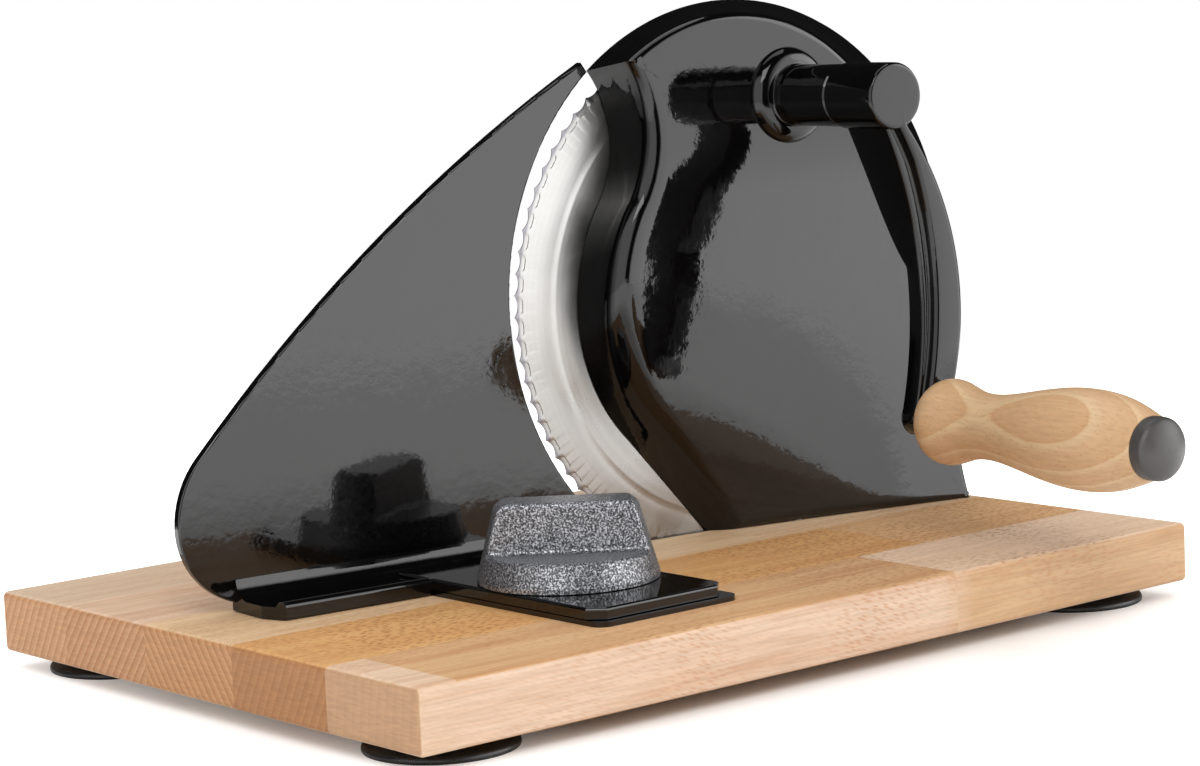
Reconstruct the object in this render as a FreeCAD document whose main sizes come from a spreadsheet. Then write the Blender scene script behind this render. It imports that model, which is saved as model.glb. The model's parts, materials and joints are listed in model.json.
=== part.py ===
import FreeCAD
import Part
import Sketcher
import math
import os

from FreeCAD import Vector

# Hand-cranked bread slicer on a glued beech board.
# Lengths in millimetres, angles in degrees. +X along the board, +Y away from the
# handle side, +Z up, Z = 0 where the suction feet stand.
# The blade, its housing, the crank and the thickness fence share a unit frame that is
# turned a little about Z: u along the blade, v square to it (away from the handle),
# w up from the board's top face.

doc = FreeCAD.newDocument("BreadSlicer")
sheet = doc.addObject("Spreadsheet::Sheet", "Sizes")

SIZES = [
    ("board_length", 350.0), ("board_width", 246.0), ("board_thick", 21.5), ("board_round", 2.0),
    ("foot_inset", 29.5), ("foot_radius", 24.8), ("foot_height", 6.0), ("foot_rim", 2.4),
    ("foot_web", 2.2), ("foot_seat_radius", 12.0),
    ("foot_screw_radius", 1.6), ("foot_screw_length", 14.0), ("foot_screw_head", 4.2),
    ("foot_screw_head_thick", 1.8),
    ("unit_x", 221.4), ("unit_y", 133.5), ("unit_yaw", -4.5),
    ("blade_u", 31.2), ("blade_w", 87.5), ("blade_radius", 100.0), ("blade_thick", 1.2),
    ("blade_edge_thick", 0.35), ("bevel_radius", 83.0), ("scallop_count", 80.0),
    ("scallop_depth", 1.5), ("slot_width", 3.2), ("slot_end_gap", 4.0),
    ("gear_module", 1.5), ("blade_teeth", 64.0), ("crank_teeth", 34.0), ("gear_width", 5.5),
    ("gear_backlash", 0.3), ("gear_web_radius", 38.0), ("gear_web_thick", 3.0),
    ("gear_hub_radius", 14.0),
    ("gear_hub_length", 9.5), ("crank_lean", 6.17),
    ("axle_radius", 6.0), ("running_fit", 0.05), ("bush_wall", 2.0), ("side_gap", 0.3),
    ("axle_boss_radius", 11.0), ("lock_head_radius", 13.0), ("lock_head_height", 5.0),
    ("lock_stem_radius", 3.0), ("lock_stem_length", 12.0), ("lock_washer_radius", 11.5),
    ("lock_washer_thick", 1.0), ("blade_screw_circle", 20.0), ("blade_screw_radius", 2.0),
    ("spigot_radius", 11.0),
    ("rim_gap", 0.4), ("housing_top_radius", 101.0), ("housing_wall", 3.5),
    ("housing_floor", 5.0), ("face_depth", 25.2), ("face_slant", 0.133), ("face_crown", 800.0),
    ("face_drop", 6.17), ("face_flat_high", 110.0), ("loft_depth", 34.0), ("face_round", 2.2),
    ("boss_radius", 17.0),
    ("boss_rise", 4.0), ("neck_radius", 11.2), ("neck_end", 58.5),
    ("housing_screw_radius", 2.0), ("housing_screw_grip", 10.0), ("screw_boss_radius", 4.6),
    ("screw_boss_height", 14.0), ("housing_screw_head", 3.8), ("housing_screw_head_thick", 3.0),
    ("counterbore_depth", 5.0), ("bore_clearance", 0.2),
    ("shaft_radius", 5.0), ("crank_bush_wall", 2.0), ("hub_radius", 11.8), ("hub_length", 25.9),
    ("hub_cap", 5.0), ("hub_gap", 0.5), ("crank_radius", 117.1), ("crank_rest", 6.86),
    ("arm_thick", 8.2), ("arm_rib", 4.1), ("arm_end_radius", 6.3), ("cross_pin_radius", 1.5),
    ("arm_bow_radius", 104.0), ("arm_side_radius", 105.0), ("arm_side_drop", 62.0),
    ("spindle_radius", 4.0), ("spindle_head_radius", 5.6), ("spindle_head", 1.6),
    ("grip_length", 107.0), ("grip_bulb", 15.4), ("grip_neck", 11.6), ("grip_belly", 17.5),
    ("grip_end", 10.8), ("grip_start", 9.0), ("grip_recess_radius", 8.0),
    ("grip_recess_depth", 11.0), ("grip_nut_radius", 6.2), ("grip_nut_thick", 4.0),
    ("cap_skirt", 5.0), ("cap_dome", 4.0), ("cap_plug", 3.5),
    ("fence_gap", 1.6), ("fence_thick", 3.0), ("fence_edge_radius", 104.0),
    ("flange_depth", 26.0), ("flange_thick", 4.0), ("flange_lift", 0.4), ("flange_bead", 1.5),
    ("flange_fillet", 6.5),
    ("guide_x", 91.0), ("guide_y", 24.0), ("guide_length", 108.0), ("guide_wide", 61.0),
    ("guide_thick", 1.7), ("guide_corner", 5.0), ("guide_screw_radius", 1.4),
    ("guide_screw_length", 12.0), ("guide_screw_head", 3.2), ("guide_screw_inset", 8.0),
    ("slide_thick", 3.8), ("slide_wide", 57.8), ("slide_front", 2.6), ("stroke", 15.0),
    ("knob_x", 121.0), ("knob_y", 76.0), ("knob_radius", 31.0), ("knob_top_radius", 24.0),
    ("knob_height", 27.0), ("knob_skirt", 9.7), ("knob_rim", 1.5), ("knob_wing", 17.0),
    ("knob_round", 4.0), ("knob_rest", -39.7), ("knob_turn", 300.0),
    ("spiral_start", 11.0), ("follower_radius", 2.0), ("groove_depth", 3.1),
    ("follower_top_gap", 0.5),
    ("pivot_radius", 3.0), ("pivot_grip", 12.0), ("sleeve_radius", 5.0),
    ("nut_well_radius", 11.0), ("nut_well_depth", 8.0), ("pivot_washer_radius", 8.0),
    ("pivot_washer_thick", 1.2), ("pivot_spring_radius", 5.6), ("pivot_spring_thick", 1.4),
    ("pivot_nut_flats", 10.0), ("pivot_nut_thick", 4.0),
    ("key_width", 10.0), ("key_length", 30.0), ("key_start", 100.0), ("key_drop", 0.3),
    ("keeper_width", 16.0), ("keeper_length", 24.0), ("keeper_thick", 2.2),
    ("keeper_screw_radius", 1.5), ("keeper_screw_head", 2.8), ("keeper_screw_head_thick", 1.6),
    ("key_pocket_width", 20.0), ("key_pocket_depth", 9.0),
]
for row, (name, value) in enumerate(SIZES, 1):
    sheet.set("A%d" % row, name)
    sheet.set("B%d" % row, str(value))
    sheet.setAlias("B%d" % row, name)
doc.recompute()


class Size:
    # A number together with the sheet formula that gives it.
    def __init__(self, number, text):
        self.number = float(number)
        self.text = text

    def __add__(self, other):
        other = size(other)
        return Size(self.number + other.number, "(%s + %s)" % (self.text, other.text))

    __radd__ = __add__

    def __neg__(self):
        return Size(-self.number, "(0 - %s)" % self.text)

    def __sub__(self, other):
        return self + (-size(other))

    def __rsub__(self, other):
        return size(other) + (-self)

    def __mul__(self, other):
        other = size(other)
        return Size(self.number * other.number, "(%s * %s)" % (self.text, other.text))

    __rmul__ = __mul__

    def __truediv__(self, other):
        other = size(other)
        return Size(self.number / other.number, "(%s / %s)" % (self.text, other.text))


def size(value):
    if isinstance(value, Size):
        return value
    return Size(value, repr(round(float(value), 9)))


def cosine(angle):
    return Size(math.cos(math.radians(angle.number)), "cos(%s)" % angle.text)


def sine(angle):
    return Size(math.sin(math.radians(angle.number)), "sin(%s)" % angle.text)


def root(value):
    return Size(math.sqrt(value.number), "sqrt(%s)" % value.text)


class Sheet:
    pass


S = Sheet()
for name, value in SIZES:
    setattr(S, name, Size(sheet.get(name), "Sizes." + name))


# Places that several pieces share

deck = S.foot_height + S.board_thick
pitch_sum = S.gear_module * (S.blade_teeth + S.crank_teeth) / 2
crank_u = S.blade_u + pitch_sum * sine(S.crank_lean)
crank_w = S.blade_w + pitch_sum * cosine(S.crank_lean)
blade_front = S.blade_thick / 2
hub_back = S.neck_end + S.hub_gap
hub_front = hub_back + S.hub_length
arm_back = hub_front - S.arm_rib - S.arm_thick
grip_u = crank_u + S.crank_radius * sine(S.crank_rest)
grip_w = crank_w - S.crank_radius * cosine(S.crank_rest)
grip_back = hub_front + S.side_gap
grip_front = grip_back + S.grip_length
handle_tip = grip_front + S.cap_skirt + S.cap_dome
front_y = S.unit_y + grip_u * sine(S.unit_yaw) - handle_tip * cosine(S.unit_yaw)
middle_y = (front_y + S.board_width) / 2
right_x = (S.unit_x + (S.blade_u + 0.2 + S.housing_top_radius) * cosine(S.unit_yaw)
           + (blade_front + S.rim_gap) * sine(S.unit_yaw))
left_x = -(right_x / 2)
near_y = -middle_y
slide_low = S.guide_thick + S.side_gap
slide_high = slide_low + S.slide_thick
knob_low = slide_high + S.side_gap
key_low = -S.key_drop
rim_reach = blade_front + S.rim_gap
gear_back = rim_reach
gear_front = gear_back + S.gear_width
gear_hub_reach = size(5.0)
axle_boss_back = S.gear_hub_length + S.side_gap
axle_end = axle_boss_back + 8.0
axle_back = -blade_front - S.side_gap
screw_end = gear_back + S.gear_web_thick - 0.6
crank_bush_out = S.shaft_radius + S.running_fit + S.crank_bush_wall
sleeve_run = S.sleeve_radius + S.running_fit


# Helpers

def bind(obj, **values):
    for name, value in values.items():
        value = size(value)
        setattr(obj, name, value.number)
        obj.setExpression(name, value.text)


def place(obj, x=0.0, y=0.0, z=0.0, turn=None):
    base = Vector(size(x).number, size(y).number, size(z).number)
    obj.Placement = FreeCAD.Placement(base, turn or FreeCAD.Rotation())
    obj.setExpression("Placement.Base.x", size(x).text)
    obj.setExpression("Placement.Base.y", size(y).text)
    obj.setExpression("Placement.Base.z", size(z).text)
    return obj


def in_unit(obj, u=0.0, v=0.0, w=0.0, turn=None):
    yaw = FreeCAD.Rotation(Vector(0, 0, 1), S.unit_yaw.number)
    x = left_x + S.unit_x + size(u) * cosine(S.unit_yaw) - size(v) * sine(S.unit_yaw)
    y = near_y + S.unit_y + size(u) * sine(S.unit_yaw) + size(v) * cosine(S.unit_yaw)
    return place(obj, x, y, deck + w, yaw.multiply(turn or FreeCAD.Rotation()))


def on_board(obj, x=0.0, y=0.0, z=0.0):
    return place(obj, left_x + x, near_y + y, deck + z)


ALONG_Z = FreeCAD.Rotation()
TO_FRONT = FreeCAD.Rotation(Vector(1, 0, 0), 90)
ALONG_X = FreeCAD.Rotation(Vector(0, 1, 0), 90)
UP_Z = Vector(0, 0, 1)


def rod(name, radius, length, x=0.0, y=0.0, z=0.0, way=ALONG_Z):
    obj = doc.addObject("Part::Cylinder", name)
    bind(obj, Radius=radius, Height=length)
    return place(obj, x, y, z, way)


def block(name, length, width, height, x=0.0, y=0.0, z=0.0):
    obj = doc.addObject("Part::Box", name)
    bind(obj, Length=length, Width=width, Height=height)
    return place(obj, x, y, z)


def fuse(name, shapes):
    obj = doc.addObject("Part::MultiFuse", name)
    obj.Shapes = shapes
    return obj


def common(name, first, second):
    obj = doc.addObject("Part::Common", name)
    obj.Base = first
    obj.Tool = second
    return obj


def cut(name, base, tools):
    obj = doc.addObject("Part::Cut", name)
    obj.Base = base
    obj.Tool = tools[0] if len(tools) == 1 else fuse(name + "_cuts", tools)
    return obj


def group(name, shapes):
    obj = doc.addObject("Part::Compound", name)
    obj.Links = shapes
    return obj


def body(name):
    return doc.addObject("PartDesign::Body", name)


def origin_plane(owner, role):
    for feature in owner.Origin.OriginFeatures:
        if feature.Role == role:
            return feature
    raise RuntimeError(role)


def arc_between(p, q, radius, side):
    # side +1 bulges to the right of the way from p to q, -1 to the left
    chord = q - p
    half = chord.Length / 2
    mid = (p + q) * 0.5
    right = Vector(chord.y, -chord.x, 0).normalize()
    drop = math.sqrt(max(radius * radius - half * half, 0.0))
    top = mid + right * (side * (radius - drop))
    return Part.Arc(p, top, q)


def outline(owner, name, role, path, offset=None):
    # path: corners as (x, y) for a straight run to the next corner, or
    # (x, y, radius, side) for an arc to the next corner
    sketch = owner.newObject("Sketcher::SketchObject", name)
    sketch.AttachmentSupport = [(origin_plane(owner, role), "")]
    sketch.MapMode = "FlatFace"
    if offset is not None:
        sketch.setExpression("AttachmentOffset.Base.z", size(offset).text)
    points = [Vector(size(c[0]).number, size(c[1]).number, 0) for c in path]
    count = len(path)
    for i, corner in enumerate(path):
        p = points[i]
        q = points[(i + 1) % count]
        if len(corner) == 2:
            sketch.addGeometry(Part.LineSegment(p, q), False)
        else:
            sketch.addGeometry(arc_between(p, q, size(corner[2]).number, corner[3]), False)
    ends = []
    for i, corner in enumerate(path):
        # an arc runs anticlockwise, so one that bulges left has its ends swapped
        swapped = len(corner) == 4 and corner[3] < 0
        ends.append((2, 1) if swapped else (1, 2))
    for i, corner in enumerate(path):
        k = (i + 1) % count
        sketch.addConstraint(Sketcher.Constraint("Coincident", i, ends[i][1], k, ends[k][0]))
    for i, corner in enumerate(path):
        for kind, value in (("DistanceX", corner[0]), ("DistanceY", corner[1])):
            value = size(value)
            datum = Sketcher.Constraint(kind, -1, 1, i, ends[i][0], value.number)
            index = sketch.addConstraint(datum)
            if value.text.find("Sizes") >= 0:
                sketch.setExpression("Constraints[%d]" % index, value.text)
        if len(corner) == 4:
            value = size(corner[2])
            index = sketch.addConstraint(Sketcher.Constraint("Radius", i, value.number))
            if value.text.find("Sizes") >= 0:
                sketch.setExpression("Constraints[%d]" % index, value.text)
    return sketch


def pad(owner, name, sketch, length, reverse=False):
    feature = owner.newObject("PartDesign::Pad", name)
    feature.Profile = sketch
    feature.Reversed = reverse
    bind(feature, Length=length)
    return feature


def pocket(owner, name, sketch, length, reverse=False):
    feature = owner.newObject("PartDesign::Pocket", name)
    feature.Profile = sketch
    feature.Reversed = reverse
    bind(feature, Length=length)
    return feature


def spin(owner, name, sketch, axis):
    feature = owner.newObject("PartDesign::Revolution", name)
    feature.Profile = sketch
    feature.ReferenceAxis = (sketch, [axis])
    feature.Angle = 360.0
    return feature


def edges_where(shape, test):
    return ["Edge%d" % (i + 1) for i, edge in enumerate(shape.Edges) if test(edge)]


def rounded(owner, name, base, radius, test):
    doc.recompute()
    feature = owner.newObject("PartDesign::Fillet", name)
    feature.Base = (base, edges_where(base.Shape, test))
    bind(feature, Radius=radius)
    return feature


def round_edges(name, base, radius, test):
    doc.recompute()
    feature = doc.addObject("Part::Fillet", name)
    feature.Base = base
    number = size(radius).number
    picks = [i + 1 for i, edge in enumerate(base.Shape.Edges) if test(edge)]
    feature.Edges = [(i, number, number) for i in picks]
    return feature


PIECES = []


def piece(obj, label):
    obj.Label = label
    PIECES.append((obj, label))
    return obj


def spun(name, profile):
    # a turned piece: profile is radius, height about its own Z axis
    owner = body(name)
    sketch = outline(owner, name + "_profile", "XZ_Plane", profile)
    spin(owner, name + "_turn", sketch, "V_Axis")
    return owner


def turned(name, profile, u, w, reach=0.0):
    # turned about an axis square to the blade, heights run to the front
    return place(spun(name, profile), u, -size(reach), w, TO_FRONT)


def turned_piece(name, profile, u, w, label):
    return piece(in_unit(spun(name, profile), u, 0.0, w, TO_FRONT), label)


# Board

board = body("Board")
board_sketch = outline(board, "Board_outline", "XY_Plane", [
    (0, 0),
    (S.board_length, 0),
    (S.board_length, S.board_width),
    (0, S.board_width),
])
board_pad = pad(board, "Board_pad", board_sketch, S.board_thick, True)
rounded(board, "Board_round", board_pad, S.board_round, lambda edge: True)
on_board(board)

half_chord = root(S.blade_radius * S.blade_radius - S.blade_w * S.blade_w)
unit_cuts = [block(
    "Blade_slot", half_chord * 2 + S.slot_end_gap * 2, S.slot_width, S.board_thick + 2,
    S.blade_u - half_chord - S.slot_end_gap, -S.slot_width / 2, -S.board_thick - 1)]

# Screws that hold the housing down, by their place along the blade and in front of it
housing_spots = [(size(50.0), size(6.8)), (size(84.0), size(8.8)), (size(114.0), size(11.0))]
for i, (u, v) in enumerate(housing_spots, 1):
    unit_cuts.append(rod("Housing_screw_hole_%d" % i,
                         S.housing_screw_radius + S.bore_clearance,
                         S.board_thick + 1, u, -v, -S.board_thick - 0.5))
    unit_cuts.append(rod("Housing_screw_well_%d" % i,
                         S.housing_screw_head + S.bore_clearance,
                         S.counterbore_depth + 1, u, -v, -S.board_thick - 1))

foot_x = [S.foot_inset, S.board_length - S.foot_inset]
foot_y = [S.foot_inset, S.board_width - S.foot_inset]
foot_spots = [(foot_x[0], foot_y[0]), (foot_x[1], foot_y[0]),
              (foot_x[0], foot_y[1]), (foot_x[1], foot_y[1])]
key_run = S.key_length + S.stroke
board_cuts = [
    block("Key_pocket", S.key_pocket_width, key_run + S.side_gap * 4, S.key_pocket_depth + 1,
          S.knob_x - S.key_pocket_width / 2, S.key_start - S.stroke - S.side_gap * 2,
          -S.key_pocket_depth),
    rod("Sleeve_hole", S.sleeve_radius, S.board_thick + 1, S.knob_x, S.knob_y,
        -S.board_thick - 0.5),
    rod("Nut_well", S.nut_well_radius, S.nut_well_depth + 1, S.knob_x, S.knob_y,
        -S.board_thick - 1),
]
for i, (x, y) in enumerate(foot_spots, 1):
    board_cuts.append(rod("Foot_screw_hole_%d" % i, S.foot_screw_radius,
                          S.foot_screw_length + 1, x, y, -S.board_thick - 1))
guide_spots = [(S.guide_x + dx, S.guide_y + dy)
               for dx in (S.guide_screw_inset, S.guide_wide - S.guide_screw_inset)
               for dy in (S.guide_screw_inset, S.guide_length - S.guide_screw_inset)]
for i, (x, y) in enumerate(guide_spots, 1):
    board_cuts.append(rod("Guide_screw_hole_%d" % i, S.guide_screw_radius,
                          S.guide_screw_length + 1, x, y, -S.guide_screw_length))
piece(cut("Board_bored", board, [in_unit(group("Unit_cuts", unit_cuts)),
                                 on_board(group("Board_cuts", board_cuts))]), "base_board")


# Suction feet and their screws

foot_low = S.foot_height - S.foot_web
foot_seat = S.foot_screw_head + 0.8
for i, (x, y) in enumerate(foot_spots, 1):
    foot = spun("Foot_%d" % i, [
        (S.foot_screw_radius, foot_low),
        (foot_seat, foot_low),
        (foot_seat + 4.5, foot_low - 0.6),
        (S.foot_radius - S.foot_rim, 0),
        (S.foot_radius, 0, 1.7, 1),
        (S.foot_radius - 0.8, 2.4),
        (S.foot_seat_radius, S.foot_height),
        (S.foot_screw_radius, S.foot_height),
    ])
    piece(place(foot, left_x + x, near_y + y, 0.0), "suction_foot_%d" % i)
    screw = spun("Foot_screw_%d" % i, [
        (0, foot_low - S.foot_screw_head_thick),
        (S.foot_screw_head - 1.0, foot_low - S.foot_screw_head_thick),
        (S.foot_screw_head, foot_low - S.foot_screw_head_thick / 2),
        (S.foot_screw_head, foot_low),
        (S.foot_screw_radius, foot_low),
        (S.foot_screw_radius, S.foot_height + S.foot_screw_length - 1),
        (0, S.foot_height + S.foot_screw_length),
    ])
    piece(place(screw, left_x + x, near_y + y, 0.0), "foot_screw_%d" % i)


# Cast housing: a ruled loft from the rim against the blade to the smaller front outline,
# trimmed by a second loft that gives the face its arch, and its slant near the board

def rim_outline(grow):
    g = size(grow)
    return [
        (S.blade_u - 65.2 - g * 1.3, S.blade_w + 85.7 + g * 1.0, 42.2 - g, -1),
        (S.blade_u - 62.2 - g * 1.0, S.blade_w + 38.0 + g * 0.3, 70.0 + g, 1),
        (S.blade_u - 53.3 - g * 0.75, S.blade_w - 49.5 - g * 0.7),
        (S.blade_u - 19.8 - g * 0.4, -g),
        (S.blade_u + 95.8 + g, -g, 600.0, 1),
        (S.blade_u + 0.2 + S.housing_top_radius + g, S.blade_w + 6.8,
         S.housing_top_radius + g, 1),
        (S.blade_u + 41.9 + g * 0.41, S.blade_w + 98.8 + g * 0.91,
         S.housing_top_radius + g, 1),
    ]


def face_outline(grow):
    g = size(grow)
    return [
        (S.blade_u - 60.8 - g * 1.3, S.blade_w + 90.7 + g * 1.0, 52.0 - g, -1),
        (S.blade_u - 59.6 - g * 1.0, S.blade_w + 42.1 + g * 0.3, 51.5 + g, 1),
        (S.blade_u - 50.4 - g * 0.75, S.blade_w - 25.5 - g * 0.7),
        (S.blade_u + 26.8 - g * 0.4, -g),
        (S.blade_u + 92.5 + g, -g, 200.0, -1),
        (S.blade_u + 70.4 + g * 0.95, S.blade_w + 17.4 + g * 0.3, 190.0 + g, 1),
        (S.blade_u + 26.6 + g * 0.7, S.blade_w + 83.8 + g * 0.7, 72.0 + g, 1),
    ]


def housing_loft(name, grow, start):
    owner = body(name)
    first = outline(owner, name + "_rim", "XZ_Plane", rim_outline(grow), start)
    second = outline(owner, name + "_face", "XZ_Plane", face_outline(grow), S.loft_depth)
    loft = owner.newObject("PartDesign::AdditiveLoft", name + "_loft")
    loft.Profile = first
    loft.Sections = [second]
    loft.Ruled = True
    return owner


def crown(name, inset):
    # a smooth loft through level sections: the front edge of each stands at the face's depth,
    # which arches back away from face_high, and it slants less the higher it is
    owner = body(name)
    sections = []
    for i, high in enumerate([size(-10.0), size(50.0), S.face_flat_high, size(215.0)]):
        away = high - crank_w + S.face_drop
        middle = S.face_depth - inset - away * away / (S.face_crown * 2)
        left = 1 - high / S.face_flat_high
        slant = left * left * S.face_slant * 250.0 if i < 2 else size(0)
        sections.append(outline(owner, "%s_%d" % (name, i), "XY_Plane", [
            (crank_u - 250.0, slant - middle),
            (crank_u + 250.0, -slant - middle),
            (crank_u + 250.0, 60.0),
            (crank_u - 250.0, 60.0),
        ], high))
    loft = owner.newObject("PartDesign::AdditiveLoft", name + "_loft")
    loft.Profile = sections[0]
    loft.Sections = sections[1:]
    return owner


outside = common("Housing_outside", housing_loft("Housing_skin", 0, rim_reach),
                 crown("Crown_outside", 0.0))
face_edges = round_edges("Housing_rounded", outside, S.face_round, lambda edge: (
    edge.CenterOfMass.y < -6.0 and edge.CenterOfMass.z > 8.0
    and edge.BoundBox.YLength < 16.0 and edge.BoundBox.DiagonalLength > 20.0))
hollow = common("Housing_hollow", housing_loft("Hollow_skin", -S.housing_wall, 0.0),
                crown("Crown_inside", S.housing_wall))
hollow_above = common("Housing_hollow_above", hollow, block(
    "Above_floor", 400.0, 100.0, 250.0, -150.0, -80.0, S.housing_floor))
shell = cut("Housing_shell", face_edges, [hollow_above])

# Neck for the crank shaft, boss for the blade axle and bosses for the screws
neck = turned("Neck", [
    (0, gear_front + gear_hub_reach),
    (S.neck_radius + 1.5, gear_front + gear_hub_reach),
    (S.neck_radius + 1.5, S.face_depth - 4.0),
    (S.boss_radius, S.face_depth - 4.0),
    (S.boss_radius, S.face_depth, 6.0, -1),
    (S.neck_radius, S.face_depth + S.boss_rise),
    (S.neck_radius, S.neck_end - 0.8),
    (S.neck_radius - 0.8, S.neck_end),
    (0, S.neck_end),
], crank_u, crank_w)
axle_boss = turned("Axle_boss", [
    (0, axle_boss_back),
    (S.axle_boss_radius, axle_boss_back),
    (S.axle_boss_radius + 1.5, S.face_depth - 6.0),
    (0, S.face_depth - 6.0),
], S.blade_u, S.blade_w)
screw_bosses = [rod("Screw_boss_%d" % i, S.screw_boss_radius, S.screw_boss_height, u, -v, 0.0)
                for i, (u, v) in enumerate(housing_spots, 1)]
behind_face = common("Bosses_in_outline", group("Screw_bosses", screw_bosses), block(
    "Behind_rim", 400.0, 60.0, 100.0, -150.0, -60.0 - rim_reach, 0.0))
solid_housing = fuse("Housing_solid", [shell, neck, axle_boss, behind_face])
housing_bores = [
    turned("Crank_bore", [
        (0, 0), (crank_bush_out, 0), (crank_bush_out, S.neck_end + 1), (0, S.neck_end + 1),
    ], crank_u, crank_w),
    turned("Axle_bore", [
        (0, 0), (S.axle_radius, 0), (S.axle_radius, axle_end), (0, axle_end),
    ], S.blade_u, S.blade_w),
]
for i, (u, v) in enumerate(housing_spots, 1):
    housing_bores.append(rod("Housing_thread_%d" % i, S.housing_screw_radius,
                             S.housing_screw_grip + 1, u, -v, -1.0))
housing = cut("Housing_bored", solid_housing, housing_bores)
piece(in_unit(housing), "gear_housing")

head_low = -S.board_thick + S.counterbore_depth
for i, (u, v) in enumerate(housing_spots, 1):
    screw = spun("Housing_screw_%d" % i, [
        (0, head_low - S.housing_screw_head_thick),
        (S.housing_screw_head, head_low - S.housing_screw_head_thick),
        (S.housing_screw_head, head_low),
        (S.housing_screw_radius, head_low),
        (S.housing_screw_radius, S.housing_screw_grip),
        (0, S.housing_screw_grip),
    ])
    piece(in_unit(screw, u, -v, 0.0), "housing_screw_%d" % i)

turned_piece("Axle", [
    (S.lock_stem_radius, axle_back),
    (S.axle_radius, axle_back),
    (S.axle_radius, axle_end),
    (0, axle_end),
    (0, axle_back + S.lock_stem_length),
    (S.lock_stem_radius, axle_back + S.lock_stem_length),
], S.blade_u, S.blade_w, "blade_axle")
washer_back = axle_back - S.lock_washer_thick
turned_piece("Lock_washer", [
    (S.lock_stem_radius, washer_back),
    (S.lock_washer_radius, washer_back),
    (S.lock_washer_radius, axle_back),
    (S.lock_stem_radius, axle_back),
], S.blade_u, S.blade_w, "blade_lock_washer")
lock_back = washer_back - S.lock_head_height
lock_screw = turned("Lock_screw", [
    (0, lock_back),
    (S.lock_head_radius - 3, lock_back, 6.0, 1),
    (S.lock_head_radius, washer_back - 1.5),
    (S.lock_head_radius, washer_back),
    (S.lock_stem_radius, washer_back),
    (S.lock_stem_radius, axle_back + S.lock_stem_length),
    (0, axle_back + S.lock_stem_length),
], S.blade_u, S.blade_w)
coin_slot = block("Coin_slot", S.lock_head_radius * 2 + 2, S.lock_head_height / 2, 2.4,
                  S.blade_u - S.lock_head_radius - 1, -lock_back - S.lock_head_height / 2 + 0.0,
                  S.blade_w - 1.2)
piece(in_unit(cut("Lock_screw_slotted", lock_screw, [coin_slot])), "blade_lock_screw")
turned_piece("Crank_bush", [
    (S.shaft_radius + S.running_fit, gear_front + gear_hub_reach),
    (crank_bush_out, gear_front + gear_hub_reach),
    (crank_bush_out, S.neck_end),
    (S.shaft_radius + S.running_fit, S.neck_end),
], crank_u, crank_w, "crank_bush")


# Blade: a disc ground to a thin edge on its near side, with scallops round the rim

def scalloped_disc(radius, depth, count, thick):
    edges = []
    for k in range(count):
        a, b, c = [2 * math.pi * (k + f) / count for f in (0.0, 0.5, 1.0)]
        tip = Vector(radius * math.cos(a), radius * math.sin(a), 0)
        low = Vector((radius - depth) * math.cos(b), (radius - depth) * math.sin(b), 0)
        last = Vector(radius * math.cos(c), radius * math.sin(c), 0)
        edges.append(Part.Arc(tip, low, last).toShape())
    return Part.Face(Part.Wire(edges)).extrude(Vector(0, 0, thick))


def screw_path(back, front):
    # countersunk in the blade, cylindrical in the gear
    return [
        (0, back), (S.blade_screw_radius + 1.2, back), (S.blade_screw_radius, -back),
        (S.blade_screw_radius, front), (0, front),
    ]


blade_screw_spots = []
for k in range(3):
    angle = math.radians(90.0 + 120.0 * k)
    blade_screw_spots.append((S.blade_u + S.blade_screw_circle * round(math.cos(angle), 9),
                              S.blade_w + S.blade_screw_circle * round(math.sin(angle), 9)))


def screw_tools(name):
    return [turned("%s_%d" % (name, i), screw_path(-blade_front, screw_end), u, w)
            for i, (u, w) in enumerate(blade_screw_spots, 1)]


blade_round = doc.addObject("Part::Feature", "Blade_scallops")
blade_round.Shape = scalloped_disc(S.blade_radius.number, S.scallop_depth.number,
                                   int(S.scallop_count.number), S.blade_thick.number)
place(blade_round, S.blade_u, blade_front, S.blade_w, TO_FRONT)
blade_ground = turned("Blade_ground", [
    (S.spigot_radius, -blade_front),
    (S.blade_radius + 1, -blade_front),
    (S.blade_radius + 1, -blade_front + S.blade_edge_thick),
    (S.blade_radius, -blade_front + S.blade_edge_thick),
    (S.bevel_radius, blade_front),
    (S.spigot_radius, blade_front),
], S.blade_u, S.blade_w)
blade = cut("Blade_bored", common("Blade_profile", blade_ground, blade_round),
            screw_tools("Blade_screw_hole"))
piece(in_unit(blade), "blade")


# Gears: involute flanks from straight facets inside the true curve

def gear_face(teeth, module, backlash, first):
    pitch = module * teeth / 2
    base = pitch * math.cos(math.radians(20))
    inside = pitch - 1.25 * module
    outside = pitch + module
    involute = math.tan(math.radians(20)) - math.radians(20)
    half = math.pi / (2 * teeth) - backlash / (4 * pitch)
    start = max(inside, base)
    flank = []
    for i in range(4):
        r = start + (outside - start) * i / 3
        lean = math.acos(min(1.0, base / r))
        flank.append((r, half + involute - (math.tan(lean) - lean)))
    if inside < base:
        flank.insert(0, (inside, flank[0][1]))
    points = []
    for k in range(teeth):
        middle = math.radians(first) + 2 * math.pi * k / teeth
        for r, a in flank:
            points.append(Vector(r * math.cos(middle - a), r * math.sin(middle - a), 0))
        for r, a in reversed(flank):
            points.append(Vector(r * math.cos(middle + a), r * math.sin(middle + a), 0))
    return Part.Face(Part.makePolygon(points + [points[0]]))


def gear_rim(name, teeth, first, bore, u, w):
    obj = doc.addObject("Part::Feature", name + "_disc")
    face = gear_face(int(teeth.number), S.gear_module.number, S.gear_backlash.number, first)
    obj.Shape = face.extrude(Vector(0, 0, S.gear_width.number))
    place(obj, u, -gear_back, w, TO_FRONT)
    hole = rod(name + "_hole", bore, 20.0, u, 5.0, w, TO_FRONT)
    return cut(name, obj, [hole])


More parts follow.
